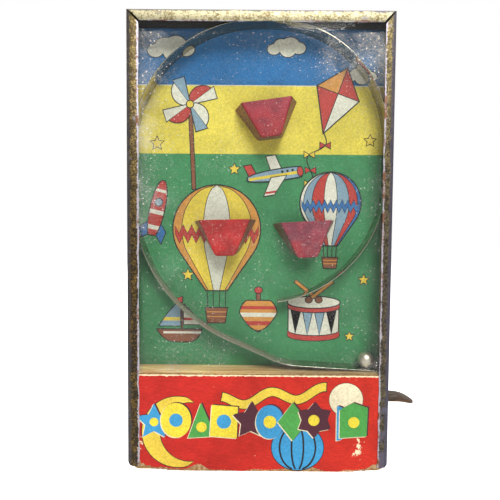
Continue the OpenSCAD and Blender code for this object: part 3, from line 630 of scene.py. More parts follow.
# The left track runs from the top round the upper left bend, down the wall, round the
# low bend, down the fall, round the dip and along the ledge to the striker's notch.
uphill = np.array([-math.cos(FALL), math.sin(FALL)])
dip = np.array([DIP_X, ledge_at(DIP_X)])
dip_start = dip + DIP_BEND * math.tan((FALL - SLOPE) / 2) * uphill
dip_middle = dip_start + DIP_BEND * np.array([math.sin(FALL), math.cos(FALL)])
low_x = LOW_BEND - INNER
fall_top = dip + (dip[0] + LOW_BEND * math.sin(FALL) - low_x) / math.cos(FALL) * uphill
low_middle = (low_x, fall_top[1] + LOW_BEND * math.cos(FALL))
ledge_end = (STRIKER - 0.5, ledge_at(STRIKER - 0.5))
left_path = np.concatenate([
    straight((LEFT_START, TOP), (LEFT_BEND - INNER, TOP)),
    ellipse(LEFT_BEND - INNER, TOP - LEFT_BEND, LEFT_BEND, LEFT_BEND, 90, 180, 90)[:-1],
    straight((-INNER, TOP - LEFT_BEND), (-INNER, low_middle[1])),
    ellipse(*low_middle, LOW_BEND, LOW_BEND, 180, 270 - FALL_DEG, 90)[:-1],
    straight(fall_top, dip_start),
    ellipse(*dip_middle, DIP_BEND, DIP_BEND, 270 - FALL_DEG, 270 - SLOPE_DEG, 30)[:-1],
    straight(dip_middle - DIP_BEND * np.array([math.sin(SLOPE), math.cos(SLOPE)]), ledge_end),
    [ledge_end]])
right_path = np.concatenate([
    straight((RIGHT_START, TOP), (INNER - RIGHT_BEND, TOP)),
    ellipse(INNER - RIGHT_BEND, TOP - RIGHT_BEND, RIGHT_BEND, RIGHT_BEND, 90, 0, 90)[:-1],
    straight((INNER, TOP - RIGHT_BEND), (INNER, CURL_TOP)),
    ellipse(INNER - CURL_BEND, CURL_TOP, CURL_BEND, CURL_BEND, 0, CURL_TURN, 100)])

# Rolled tinplate has fine streaks along it, rust spots of a millimetre and a plain slit
# edge in front, and it shines less the lower and further left it lies.
bright_tinplate, place = started("bright tinplate")
drawn = add(bright_tinplate, "Mapping", {"Vector": place, "Scale": (0.06, 1.0, 0.06)})
streak = add(bright_tinplate, "TexNoise", {"Vector": drawn, "Scale": 1000 / 1.5, "Detail": 6,
                                           "Roughness": 0.6})
spot = add(bright_tinplate, "TexNoise", {"Vector": place, "Scale": 1000 / 1.1, "Detail": 5,
                                         "Roughness": 0.7})
rust = add(bright_tinplate, "MapRange", {"Value": spot, "From Min": 0.7, "From Max": 0.76})
tone = add(bright_tinplate, "MapRange", {"Value": streak, "From Min": 0.3, "From Max": 0.7})
grey = add(bright_tinplate, "Mix", {"data_type": "RGBA", 0: tone, 6: colour("#8e8776"),
                                    7: colour("#c6bfad")})
worn = add(bright_tinplate, "Mix", {"data_type": "RGBA", 0: rust, 6: grey, 7: colour("#6d4a30")})
gloss = add(bright_tinplate, "MapRange", {"Value": streak, "From Min": 0.3, "From Max": 0.7, "To Min": 0.2,
                                          "To Max": 0.12})
front_edge = add(bright_tinplate, "SeparateXYZ", {"Vector": place})
slit = add(bright_tinplate, "MapRange", {"Value": front_edge.outputs["Y"],
                                         "From Min": (TRACK_FRONT + 0.4) / 1000,
                                         "From Max": (TRACK_FRONT + 0.25) / 1000})
edged = add(bright_tinplate, "Mix", {"data_type": "RGBA", 0: slit, 6: worn, 7: colour("#b5ae9c")})
low_down = add(bright_tinplate, "MapRange", {"Value": front_edge.outputs["Z"], "From Min": 0.112,
                                             "From Max": 0.088})
to_left = add(bright_tinplate, "MapRange", {"Value": front_edge.outputs["X"], "From Min": 0.024,
                                            "From Max": -0.006, "To Min": 0.0, "To Max": 0.85})
tarnish = add(bright_tinplate, "Math", {"operation": "MULTIPLY", 0: low_down, 1: to_left})
dulled = add(bright_tinplate, "Mix", {"data_type": "RGBA", 0: tarnish, 6: edged, 7: colour("#8a806e")})
shine = add(bright_tinplate, "Math", {"operation": "SUBTRACT", 0: 1.0, 1: tarnish})
bump = add(bright_tinplate, "Bump", {"Height": streak, "Strength": 0.05, "Distance": 0.0002})
shader = add(bright_tinplate, "BsdfPrincipled", {"Base Color": dulled, "Metallic": shine,
                                                 "Roughness": gloss, "Normal": bump})
add(bright_tinplate, "OutputMaterial", {"Surface": shader})

# Past the striker's notch the left track's toe goes on to the wall as two fingers.
EDGE_R = 0.14
strip = rounded_section(TRACK_T, TRACK_DEEP, EDGE_R)
left_parts = [looped(along(left_path, strip, TRACK_MID))]
toe = np.array([[STRIKER - 0.6, ledge_at(STRIKER - 0.6)], [WALL - 0.04, LEDGE_FOOT]])
for front, rear in ((TRACK_FRONT, TRACK_FRONT + 1.45), (PAPER_FRONT - 1.75, PAPER_FRONT)):
    finger = rounded_section(TRACK_T, rear - front, EDGE_R)
    left_parts.append(looped(along(toe, finger, (front + rear) / 2)))
left_strip = shaped("left_track_strip", left_parts)
fitted(left_strip, "case", "tinplate", bright_tinplate, "left_track")
right_strip = shaped("right_track_strip", [looped(along(right_path, strip, TRACK_MID))])
fitted(right_strip, "case", "tinplate", bright_tinplate, "right_track")


# The cups are folded from thin tin: a front enamelled red before it was cut, and bare
# sides and floor bent back from it, splayed by hand and browned where the tin has gone.
CUP_FRONT = 1000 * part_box("cup_top")[0][1]
CUP_DEEP = PAPER_FRONT - CUP_FRONT
CUP_HIGH = 17.8
CUP_MOUTH, MOUTH_SPLAY = 12.3, 3.4
CUP_FOOT, FOOT_SPLAY, FLOOR_RISE = 4.7, 1.0, 1.0
SIDE_LEAN, SIDE_RUN = 0.40, 0.43
CUP_CORNER, CUP_FOLD = 1.44, 0.45


def cup_edge(mouth, foot, high):
    """The cup's outline at one depth: down one side, round a corner, a parabola, along the floor and up."""
    side = np.array([[-mouth, high / 2], [-foot, -high / 2]])
    way = (side[0] - side[1]) / np.linalg.norm(side[0] - side[1])
    near = side[1] + way * CUP_CORNER
    onward = side[1] + np.array([CUP_CORNER, 0])
    s = np.linspace(0, 1, 14)[:-1, None]
    t = np.linspace(0, 1, 8)[:, None]
    wall = side[0] + (near - side[0]) * s
    turn = (1 - t) ** 2 * near + 2 * t * (1 - t) * side[1] + t ** 2 * onward
    floor = onward + (np.array([0, onward[1]]) - onward) * np.linspace(0, 1, 5)[1:, None]
    half = np.concatenate([wall, turn, floor])
    return np.concatenate([half, (half * [-1, 1])[::-1][1:]])


def cup_section(inset, depth):
    """Its outline drawn in by inset at a depth: both half widths and the floor's height grow in proportion
    to depth, and the foot is as wide as the leaning sides leave it at that height."""
    d = depth / CUP_DEEP
    rise = FLOOR_RISE * d + inset
    drawn_in = inset / math.cos(SIDE_LEAN)
    mouth = CUP_MOUTH + MOUTH_SPLAY * d - drawn_in
    foot = CUP_FOOT + FOOT_SPLAY * d + rise * SIDE_RUN - drawn_in
    edge = cup_edge(mouth, foot, CUP_HIGH - rise)
    edge[:, 1] += rise / 2
    return edge


def cup_shell(x, z, lean):
    """The cup's skin: rays from the middle of its mouth out over the front, a quarter circle round the
    fold, and back along the walls, all turned by a lean in degrees."""
    middle = np.array([0, CUP_HIGH / 2])
    sheets = [(middle + (cup_section(CUP_FOLD, 0) - middle) * s, 0.0) for s in np.linspace(0.02, 1, 9)]
    for turn in np.radians(np.linspace(0, 90, 6)[1:]):
        y = CUP_FOLD * (1 - math.cos(turn))
        sheets.append((cup_section(CUP_FOLD * (1 - math.sin(turn)), y), y))
    sheets += [(cup_section(0, y), y) for y in np.linspace(CUP_FOLD, CUP_DEEP, 8)[1:]]
    turned = [np.insert(flat @ leaned(math.radians(lean)) + [x, z], 1, CUP_FRONT + y, axis=1)
              for flat, y in sheets]
    return np.array(turned)


def enamelled_tin(name, middle, red, low_red, chip):
    """Red enamel on the front only, from a darker red above to a brighter one below as painted shade, and
    browned bare tin behind it.
    """
    made, place = started(name)
    parts = add(made, "SeparateXYZ", {"Vector": place})
    depth = parts.outputs["Y"]
    chips = add(made, "TexNoise", {"Vector": place, "Scale": 1000 / 0.8, "Detail": 5, "Roughness": 0.7})
    cloudy = add(made, "TexNoise", {"Vector": place, "Scale": 1000 / 6, "Detail": 4})
    edge = add(made, "MapRange", {"Value": chips, "To Min": -0.0006, "To Max": 0.0006})
    reach = add(made, "Math", {"operation": "ADD", 0: depth, 1: edge})
    bare = add(made, "MapRange", {"Value": reach, "From Min": (CUP_FRONT + 0.5) / 1000,
                                  "From Max": (CUP_FRONT + 0.65) / 1000})
    tone = add(made, "MapRange", {"Value": cloudy, "From Min": 0.35, "From Max": 0.65})
    # Painted shade: the red turns darker going up, over 12 mm about the cup's middle height.
    fall = add(made, "MapRange", {"Value": parts.outputs["Z"], "From Min": (middle + 6) / 1000,
                                  "From Max": (middle - 6) / 1000})
    shaded_red = add(made, "Mix", {"data_type": "RGBA", 0: fall, 6: colour(red), 7: colour(low_red)})
    paint = add(made, "Mix", {"data_type": "RGBA", 0: tone, 6: colour(chip), 7: shaded_red})
    rot = add(made, "MapRange", {"Value": chips, "From Min": 0.35, "From Max": 0.65})
    brown = add(made, "Mix", {"data_type": "RGBA", 0: rot, 6: colour("#5a382e"), 7: colour("#b98d74")})
    skin = add(made, "Mix", {"data_type": "RGBA", 0: bare, 6: paint, 7: brown})
    metal = add(made, "Math", {"operation": "MULTIPLY", 0: bare, 1: 0.6})
    bump = add(made, "Bump", {"Height": cloudy, "Strength": 0.25, "Distance": 0.0005})
    shader = add(made, "BsdfPrincipled", {"Base Color": skin, "Metallic": metal, "Roughness": 0.48,
                                          "Specular IOR Level": 0.35, "Normal": bump})
    add(made, "OutputMaterial", {"Surface": shader})
    return made


# Each cup's first red, used above, is darker than its second, used below: painted shade.
for node, x, z, lean, red, low_red, chip in (
        ("cup_top", 4.2, 176.5, 8, "#9c2636", "#ab2426", "#7e1c2a"),
        ("cup_left", -17.2, 117.6, 1.6, "#b61e20", "#c41c1a", "#981818"),
        ("cup_right", 23.7, 117, 3.4, "#973c4b", "#ab282c", "#783040")):
    skin = shaped(node + "_fold", [looped(cup_shell(x, z, lean), False, False)])
    tin = skin.modifiers.new("tin", "SOLIDIFY")
    tin.thickness = 0.00035
    tin.offset = -1
    settle(skin, 40)
    enamel = enamelled_tin("red enamelled tin " + node, z, red, low_red, chip)
    fitted(skin, "case", "red_tin", enamel, node)

# The ball is a ground and hardened steel bearing ball, 5/16 inch. Its mirror finish has
# gone slightly grey, with fine scuffs.
low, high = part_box("ball")
ball_middle = 500 * (np.array(low) + np.array(high))
ball_radius = 500 * (high[0] - low[0])
rows = np.radians(np.linspace(-90, 90, 65))
columns = np.radians(np.linspace(0, 360, 96, endpoint=False))
globe = ball_middle + ball_radius * np.stack([
    np.cos(rows)[:, None] * np.cos(columns), np.cos(rows)[:, None] * np.sin(columns),
    np.sin(rows)[:, None] * np.ones(96)], -1)
globe = shaped("steel_ball", [looped(globe, capped=False)], 60)
ground_steel, place = started("ground bearing steel")
scuff = add(ground_steel, "TexNoise", {"Vector": place, "Scale": 1000 / 0.7, "Detail": 6, "Roughness": 0.7})
gloss = add(ground_steel, "MapRange", {"Value": scuff, "From Min": 0.35, "From Max": 0.7, "To Min": 0.34,
                                       "To Max": 0.46})
shader = add(ground_steel, "BsdfPrincipled", {"Base Color": colour("#dccfbd"), "Metallic": 1.0,
                                              "Roughness": gloss})
add(ground_steel, "OutputMaterial", {"Surface": shader})
fitted(globe, "ball", "ball_steel", ground_steel, "ball")

# The lever is stamped from mild steel strip and folded, its plating worn to brown by
# thumbs. It turns on a nail, with a washer behind, and a wound spring pulls its tail.
worn_steel, place = started("worn plated mild steel")
scratched = add(worn_steel, "Mapping", {"Vector": place, "Scale": (0.12, 1.0, 0.3)})
lines = add(worn_steel, "TexNoise", {"Vector": scratched, "Scale": 1000 / 0.5, "Detail": 6,
                                     "Roughness": 0.7})
patch = add(worn_steel, "TexNoise", {"Vector": place, "Scale": 1000 / 4, "Detail": 5})
bright = add(worn_steel, "MapRange", {"Value": lines, "From Min": 0.45, "From Max": 0.68})
tone = add(worn_steel, "Mix", {"data_type": "RGBA", 0: bright, 6: colour("#4a3a2c"), 7: colour("#a89a86")})
rust = add(worn_steel, "MapRange", {"Value": patch, "From Min": 0.45, "From Max": 0.65})
skin = add(worn_steel, "Mix", {"data_type": "RGBA", 0: rust, 6: tone, 7: colour("#6b4c36")})
bump = add(worn_steel, "Bump", {"Height": lines, "Strength": 0.25, "Distance": 0.0002})
shader = add(worn_steel, "BsdfPrincipled", {"Base Color": skin, "Metallic": 0.75, "Roughness": 0.42,
                                            "Normal": bump})
add(worn_steel, "OutputMaterial", {"Surface": shader})
fitted(eased("lever", "lever_stamping", 0.18), "lever", "lever_steel", worn_steel, "lever")

# Drawn wire looks bright with duller streaks. The spring keeps the CAD mesh, because the
# lever's joint stretches it.
drawn_wire, place = started("drawn steel wire")
streak = add(drawn_wire, "TexNoise", {"Vector": place, "Scale": 1000 / 0.8, "Detail": 4})
tone = add(drawn_wire, "Mix", {"data_type": "RGBA", 0: streak, 6: colour("#6e6860"), 7: colour("#b9b3a8")})
shader = add(drawn_wire, "BsdfPrincipled", {"Base Color": tone, "Metallic": 1.0, "Roughness": 0.35})
add(drawn_wire, "OutputMaterial", {"Surface": shader})
for node in ("pivot_pin", "pivot_washer", "spring_pin"):
    fitted(eased(node, node + "_turned", 0.08), "case", "nail_steel", drawn_wire, node)
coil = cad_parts["lever_spring"]
coil.data.materials.clear()
coil.data.materials.append(drawn_wire)


# The panel below the pane is strawboard with a red printed paper pasted on. Its foot is
# chewed and rounded by use, and the paper has torn back from it and along the top.
SHEET_X = 64.4
PAPER_T = 0.2
PANEL_FRONT = 1000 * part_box("panel_paper")[0][1]
PANEL_BACK = 1000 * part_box("panel_board")[1][1]
PANEL_TOP = 49.2


def foot_line(x):
    """Height of the worn foot: a bell curve chewed out of each corner, with nicks of three sines."""
    worn = 3.4 * np.exp(-((x + SHEET_X) / 13) ** 2) + 2.3 * np.exp(-((x - SHEET_X) / 11) ** 2)
    nicks = 0.16 * np.sin(x * 0.9) + 0.12 * np.sin(x * 2.3 + 1) + 0.08 * np.sin(x * 5.1)
    return np.maximum(worn + nicks * (0.3 + worn), 0)


def cut_line(x):
    """Height of the board's straight top."""
    return np.full_like(x, PANEL_TOP)


def tear_line(x):
    """How far the red has torn back from the board's foot: a slow wave of sines, ragged fibres, and four
    bites shaped as bell curves."""
    slow = 0.9 + 0.5 * np.sin(x * 0.13) + 0.35 * np.sin(x * 0.41 + 2)
    rag = 0.22 * np.sin(x * 3.7) + 0.15 * np.sin(x * 7.9 + 1) + 0.1 * np.sin(x * 13.3)
    bites = 2.2 * np.exp(-((x + 29) / 4) ** 2) + 1.6 * np.exp(-((x - 26) / 5) ** 2)
    corner = 2.6 * np.exp(-((x + 62) / 5) ** 2) + 1.4 * np.exp(-((x - 62) / 4) ** 2)
    return np.maximum(slow + rag + bites + corner, 0.25)


def torn_foot(x):
    """Height of the paper's foot: the tear above the board's own foot."""
    return foot_line(x) + tear_line(x)


def torn_head(x):
    """Height of the paper's top: a ripple of two sines just under the board's."""
    return PANEL_TOP - 0.15 + 0.12 * np.sin(x * 1.7) * np.sin(x * 0.37)


def sheet_slab(front, rear, foot, head, columns=260, rows=90):
    """A thin slab between two heights that vary along X: its front grid, its rear grid, and its rim."""
    x = np.linspace(-SHEET_X, SHEET_X, columns)
    s = np.linspace(0, 1, rows)[:, None]
    z = foot(x) + (head(x) - foot(x)) * s
    grid = np.stack([np.broadcast_to(x, z.shape), np.full(z.shape, front), z], -1)
    other = grid.copy()
    other[..., 1] = rear
    index = np.arange(rows * columns).reshape(rows, columns)
    faces = []
    for base, flip in ((0, 1), (rows * columns, -1)):
        i = index + base
        quads = np.stack([i[:-1, :-1], i[:-1, 1:], i[1:, 1:], i[1:, :-1]], -1)
        faces += quads.reshape(-1, 4)[:, ::flip].tolist()
    rim = np.concatenate([index[0], index[1:, -1], index[-1, -2::-1], index[-2:0:-1, 0]])
    onward = np.roll(rim, -1)
    far = rows * columns
    faces += np.stack([rim, rim + far, onward + far, onward], 1).tolist()
    return np.concatenate([grid.reshape(-1, 3), other.reshape(-1, 3)]), faces


PAPER_REAR = PANEL_FRONT + PAPER_T
board = shaped("panel_strawboard", [sheet_slab(PAPER_REAR, PANEL_BACK, foot_line, cut_line, rows=24)])
fitted(board, "case", "strawboard", torn_strawboard, "panel_board")
red_sheet = shaped("panel_print_sheet", [sheet_slab(PANEL_FRONT, PAPER_REAR, torn_foot, torn_head)])

# Red litho print on rag paper is half matt, with darker fibres lying across it, soiled
# patches, and buff paper bare along its top, in chips and at two corners rubbed by thumbs.
red_print, place = started("red litho print on rag paper")
parts = add(red_print, "SeparateXYZ", {"Vector": place})
fibres = add(red_print, "Mapping", {"Vector": place, "Scale": (0.22, 1.0, 1.0)})
weave = add(red_print, "TexNoise", {"Vector": fibres, "Scale": 1000 / 0.45, "Detail": 5, "Roughness": 0.7})
tear = add(red_print, "TexNoise", {"Vector": place, "Scale": 1000 / 2.2, "Detail": 6, "Roughness": 0.7})
patch = add(red_print, "TexNoise", {"Vector": place, "Scale": 1000 / 17, "Detail": 4})
warm = add(red_print, "MapRange", {"Value": parts.outputs["X"], "From Min": -0.05, "From Max": 0.06})
red = add(red_print, "Mix", {"data_type": "RGBA", 0: warm, 6: colour("#cc2a22"), 7: colour("#d4301f")})
grain = add(red_print, "MapRange", {"Value": weave, "From Min": 0.3, "From Max": 0.7, "To Min": 0.68,
                                    "To Max": 1.12})
soiled = add(red_print, "MapRange", {"Value": patch, "From Min": 0.35, "From Max": 0.6, "To Min": 0.76,
                                     "To Max": 1.0})
tint = add(red_print, "Math", {"operation": "MULTIPLY", 0: grain, 1: soiled})
fibrous = add(red_print, "Mix", {"data_type": "RGBA", "blend_type": "MULTIPLY", 0: 1.0, 6: red, 7: tint})
top_gap = add(red_print, "Math", {"operation": "SUBTRACT", 0: PANEL_TOP / 1000, 1: parts.outputs["Z"]})
ragged = add(red_print, "MapRange", {"Value": tear, "From Min": 0.3, "From Max": 0.75, "To Min": 0.0003,
                                     "To Max": 0.0013})
bare_top = add(red_print, "Math", {"operation": "LESS_THAN", 0: top_gap, 1: ragged})
thin = tear
for x, z, wide, tall in ((-60.5, 14, 5, 8), (50.5, 12.5, 4.5, 9)):
    thumbed = add(red_print, "Mapping", {"vector_type": "TEXTURE", "Vector": place,
                                         "Location": (x / 1000, 0, z / 1000),
                                         "Scale": (wide / 1000, 1, tall / 1000)})
    rub = add(red_print, "TexGradient", {"gradient_type": "SPHERICAL", "Vector": thumbed})
    thin = add(red_print, "Math", {"operation": "MULTIPLY_ADD", 0: rub.outputs[1], 1: 0.26, 2: thin})
chips = add(red_print, "MapRange", {"Value": thin, "From Min": 0.69, "From Max": 0.71})
bare = add(red_print, "Math", {"operation": "MAXIMUM", 0: bare_top, 1: chips})
skin = add(red_print, "Mix", {"data_type": "RGBA", 0: bare, 6: fibrous, 7: colour("#f2e2bb")})
bump = add(red_print, "Bump", {"Height": weave, "Strength": 0.3, "Distance": 0.0002})
shader = add(red_print, "BsdfPrincipled", {"Base Color": skin, "Roughness": 0.6, "Specular IOR Level": 0.25,
                                           "Normal": bump})
add(red_print, "OutputMaterial", {"Surface": shader})
fitted(red_sheet, "case", "red_print", red_print, "panel_paper")

# The panel's print is a row of plain toy shapes in four inks, each with a dark shadow and
# a cream edge set a little off, over a pale disc, a yellow moon, a striped disc and a
# waved ribbon, which have a black key line.
INKS.update({"cream": "#efe2bd", "cyan": "#3a9cd0", "lemon": "#f3dc3a", "grass": "#4ea449",
             "plum": "#52202e"})
DISC_X, DISC_Z, DISC_WIDE, DISC_TALL = 20, 12.5, 13, 11.5
toys = keyed(ellipse(44, 37, 8.4, 8.4), "cream", 0.25)
moon = [ellipse(-40, 20, 18, 18, 75, 285, 60), ellipse(-34, 20, 15.2, 15.2, 277, 83, 50)]
toys += keyed(np.concatenate(moon), "yellow", 0.4)
toys += keyed(ellipse(DISC_X, DISC_Z, DISC_WIDE, DISC_TALL), "cyan", 0.4)
lift = np.linspace(-0.96, 0.96, 30)
for k in (-0.66, -0.22, 0.22, 0.66):
    rib = [DISC_X + DISC_WIDE * k * np.sqrt(1 - lift ** 2) * 1.05, DISC_Z + DISC_TALL * lift]
    toys.append((stroke(np.stack(rib, 1), 0.9), "key"))
run = np.linspace(-18, 34, 60)
ribbon = np.stack([run, 37.5 + run * 0.1 + 2.6 * np.sin(run * 0.24)], 1)
toys += keyed(stroke(ribbon, 4.2), "yellow", 0.45)
row = [
    (star(-52, 25, 5, 9.5, 4.6), "cyan"), (ellipse(-41, 26, 7.6, 8.8), "lemon"),
    (np.array([[-35, 17], [-21, 18], [-28.5, 35]]), "grass"),
    (np.array([[-24, 18], [-10.5, 17], [-10, 33], [-23, 34]]), "lemon"),
    (star(-3.5, 26, 5, 9.6, 5.2), "plum"), (ellipse(6, 25.5, 7, 8.6), "cyan"),
    (np.array([[10, 25.5], [17.5, 16], [25, 25.5], [17.5, 35.5]]), "grass"),
    (star(28, 26.5, 6, 9, 6.2), "plum"), (ellipse(39.5, 25, 6.6, 8.8, -90, 90, 40), "cyan"),
    (np.array([[41, 17.5], [54.5, 18.5], [55, 33], [47.5, 35.5], [41, 32]]), "grass")]
for shape, ink in row:
    toys.append((shape + [0.7, 0.5], "plum"))
    toys.append((shape + [-0.45, -0.35], "cream"))
    toys.append((shape, ink))
for x, z, r, ink in ((-41, 26, 3.4, "cyan"), (6, 25.5, 3.2, "lemon"), (28, 26.5, 2.8, "lemon"),
                     (-17, 25.5, 3.6, "cyan"), (-28.2, 22.6, 2.6, "lemon"), (48, 25.5, 2.8, "lemon"),
                     (-52, 25, 2.2, "lemon")):
    toys.append((ellipse(x, z, r, r, count=32), ink))
inked("panel_pictures", toys, PANEL_FRONT, printed_ink, "red_print", step=0.006)

# The pane is window glass, scratched by years of handling. Dust and a film of grime, all
# drawn on its front face, grey what is behind it.
clear_glass, place = started("scratched window glass")
parts = add(clear_glass, "SeparateXYZ", {"Vector": place})
pane_low, pane_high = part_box("glass_pane")
on_face = add(clear_glass, "Math", {"operation": "LESS_THAN", 0: parts.outputs["Y"],
                                    1: (pane_low[1] + pane_high[1]) / 2})

# The film grows over three stretches and in three corners, from nothing at the first
# place, in metres, to the most at the last, and it fades under the top lip so that the band
# there stays dark as painted shade.
zones = []
for axis, first, last, most in (("X", 0.02, 0.055, 0.03), ("Z", 0.185, 0.215, 0.03),
                                ("Z", 0.066, 0.052, 0.03), ("Z", 0.2165, 0.2195, -0.3)):
    zones.append(add(clear_glass, "MapRange", {"Value": parts.outputs[axis], "From Min": first,
                                               "From Max": last, "To Min": 0.0, "To Max": most}))
for across, up, most in (((-0.015, 0.05), (0.178, 0.208), 0.06), ((-0.03, -0.06), (0.21, 0.185), 0.055),
                         ((-0.036, -0.056), (0.115, 0.135), 0.045)):
    corner_x = add(clear_glass, "MapRange", {"Value": parts.outputs["X"], "From Min": across[0],
                                             "From Max": across[1]})
    corner_z = add(clear_glass, "MapRange", {"Value": parts.outputs["Z"], "From Min": up[0],
                                             "From Max": up[1], "To Min": 0.0, "To Max": most})
    zones.append(add(clear_glass, "Math", {"operation": "MULTIPLY", 0: corner_x, 1: corner_z}))
drift = add(clear_glass, "TexNoise", {"Vector": place, "Scale": 1000 / 20, "Detail": 3})
thick = add(clear_glass, "MapRange", {"Value": drift, "From Min": 0.35, "From Max": 0.65, "To Min": -0.045,
                                      "To Max": 0.05})
for zone in zones:
    thick = add(clear_glass, "Math", {"operation": "ADD", 0: thick, 1: zone})
veil = add(clear_glass, "MapRange", {"Value": thick, "From Min": 0.08, "From Max": 0.16, "To Min": 0.015,
                                     "To Max": 0.15})

# Over the veil lie short specks and three sets of long scratches, each a stretched noise.
haze = veil
for across_mm, turn, length, first, most in ((0.3, 0.0, 1.0, 0.7, 0.55), (0.22, 1.5, 14, 0.73, 0.5),
                                             (0.22, 0.75, 20, 0.76, 0.5), (0.22, -0.6, 24, 0.76, 0.5)):
    drawn = add(clear_glass, "Mapping", {"vector_type": "TEXTURE", "Vector": place,
                                         "Rotation": (0, turn, 0), "Scale": (1, 1, length)})
    marks = add(clear_glass, "TexNoise", {"Vector": drawn, "Scale": 1000 / across_mm, "Detail": 1})
    raised = add(clear_glass, "Math", {"operation": "ADD", 0: marks, 1: thick})
    shown = add(clear_glass, "MapRange", {"Value": raised, "From Min": first, "From Max": first + 0.06,
                                          "To Min": 0.0, "To Max": most})
    haze = add(clear_glass, "Math", {"operation": "MAXIMUM", 0: shown, 1: haze})

# Grains of dust are round dots, one at most in each cell, larger where the film is thick.
flat = add(clear_glass, "CombineXYZ", {"X": parts.outputs["X"], "Y": parts.outputs["Z"]})
grains = add(clear_glass, "TexVoronoi", {"Vector": flat, "Scale": 1000 / 1.9, "voronoi_dimensions": "2D"})
chance = add(clear_glass, "SeparateXYZ", {"Vector": grains.outputs["Color"]})
common = add(clear_glass, "Math", {"operation": "MULTIPLY_ADD", 0: thick, 1: 2.2, 2: chance.outputs["X"]})
radius = add(clear_glass, "MapRange", {"Value": common, "From Min": 0.8, "From Max": 1.2, "To Min": 0.0,
                                       "To Max": 0.17})
spark = add(clear_glass, "Math", {"operation": "LESS_THAN", 0: grains.outputs["Distance"], 1: radius})
dotted = add(clear_glass, "Math", {"operation": "MULTIPLY", 0: spark, 1: 0.85})
both = add(clear_glass, "Math", {"operation": "MAXIMUM", 0: dotted, 1: haze})
haze = add(clear_glass, "Math", {"operation": "MULTIPLY", 0: both, 1: on_face})

# Bare glass lets the eye through, the haze is chalky, and the face mirrors more edge on.
gap = add(clear_glass, "BsdfTransparent", {"Color": colour("#fcfefd")})
chalk = add(clear_glass, "BsdfDiffuse", {"Color": colour("#e8e6df")})
mirror = add(clear_glass, "BsdfGlossy", {"Roughness": 0.05, "Color": colour("#686868")})
facing = add(clear_glass, "LayerWeight", {"Blend": 0.5}).outputs["Facing"]
slant = add(clear_glass, "Math", {"operation": "POWER", 0: facing, 1: 5.0})
edge_on = add(clear_glass, "MapRange", {"Value": slant, "To Min": 0.04, "To Max": 1.0})
veiled = add(clear_glass, "MixShader", {0: haze, 1: gap, 2: chalk})
surface = add(clear_glass, "MixShader", {0: edge_on, 1: veiled, 2: mirror})
add(clear_glass, "OutputMaterial", {"Surface": surface})
pane = eased("glass_pane", "pane_glass", 0.12)
pane.data.polygons.foreach_set("use_smooth", [False] * len(pane.data.polygons))
fitted(pane, "case", "pane", clear_glass, "glass_pane")

# The edging is one strip of thin tin, printed with a crackled gold on brown and rolled
# to a channel. It is notched, mitred at the two top corners, and pinned through its sides.
EDGE_OUT = 65.0
EDGE_TOP = 227.0
EDGE_FOOT = 2.8
HALF_DEEP = 10.0
LIP = 5.5
LIP_SHARE = {-1: 1.04, 1: 0.89, "top": 0.98}
BACK_LIP = 4.6
TIN = 0.4
FOLD = 0.5
FOOT_R = 3
MITRE_GAP = 0.8
SLOT_LOW = np.array([63.0, -7.14, 30.65])
SLOT_HIGH = np.array([66.0, 4.86, 36.1])


def edging_profile():
    """The channel's closed section, as rows of distance inward and depth: a front lip crowned as a
    parabola, quarter circles at the folds, a flat web and back lip, then the same set in by the tin."""
    n = np.linspace(LIP, FOLD, 18)
    crown = -HALF_DEEP + 0.36 * ((n - LIP / 2) / (LIP / 2)) ** 2
    t = np.radians(np.linspace(0, 90, 5))
    front_turn = np.stack([FOLD - FOLD * np.sin(t), crown[-1] + FOLD - FOLD * np.cos(t)], 1)[1:]
    rear_turn = np.stack([FOLD - FOLD * np.cos(t), HALF_DEEP - FOLD + FOLD * np.sin(t)], 1)
    web = np.stack([np.zeros(12), np.linspace(crown[-1] + FOLD, HALF_DEEP - FOLD, 14)[1:-1]], 1)
    back = np.stack([np.linspace(FOLD, BACK_LIP, 8), np.full(8, HALF_DEEP)], 1)[1:]
    outer = np.concatenate([np.stack([n, crown], 1), front_turn, web, rear_turn, back])
    inner = outer.copy()
    inner[:, 0] = np.maximum(inner[:, 0], TIN)
    inner[:, 1] = np.clip(inner[:, 1], crown.min() + TIN, HALF_DEEP - TIN)
    inner[:18, 1] = crown + TIN
    return np.concatenate([outer, inner[::-1]])


def dented(n, run, seed):
    """Small dents and a wavy lip: sums of nine sines along the strip, the lip's growing with the cube of
    the distance inward."""
    random = np.random.default_rng(seed)
    waves = random.uniform(0.05, 1.4, 9)
    shifts = random.uniform(0, 6.28, 9)
    sway = np.sum(np.sin(run[..., None] * waves + shifts) / (1 + 2 * waves), -1)
    dents = np.sum(np.sin(run[..., None] * waves[::-1] * 1.7 + shifts * 2 + n[..., None]) / 9, -1)
    return 0.075 * sway * (n / LIP) ** 3, 0.05 * dents * (n > 0.6)


profile = edging_profile()
n, depth = profile[:, 0], profile[:, 1]
lip = (n > 0.75).astype(float)
open_mitre = MITRE_GAP * lip
share = {key: np.where(depth < 1 - HALF_DEEP, part, 1.0) for key, part in LIP_SHARE.items()}
rounding = FOOT_R - np.sqrt(np.maximum(FOOT_R ** 2 - (FOOT_R - n) ** 2, 0))
foot = EDGE_FOOT + np.where(n < FOOT_R, rounding, 0)
s = np.linspace(0, 1, 150)[:, None]
legs = []
for side in (-1, 1):
    z = foot + (EDGE_TOP - n * share["top"] - open_mitre - foot) * s
    sway, dent = dented(np.broadcast_to(n, z.shape), z, 3 + side)
    x = side * (EDGE_OUT - n * share[side] - sway * lip)
    legs.append(looped(np.stack([x, depth + np.maximum(dent, 0), z], -1)))
start = -EDGE_OUT + n * share[-1] + open_mitre
x = start + (EDGE_OUT - n * share[1] - open_mitre - start) * s
sway, dent = dented(np.broadcast_to(n, x.shape), x, 11)
z = EDGE_TOP - n * share["top"] - sway * lip
legs.append(looped(np.stack([x, depth + np.maximum(dent, 0), z], -1)))
edging = shaped("edging_tin", legs, 40)

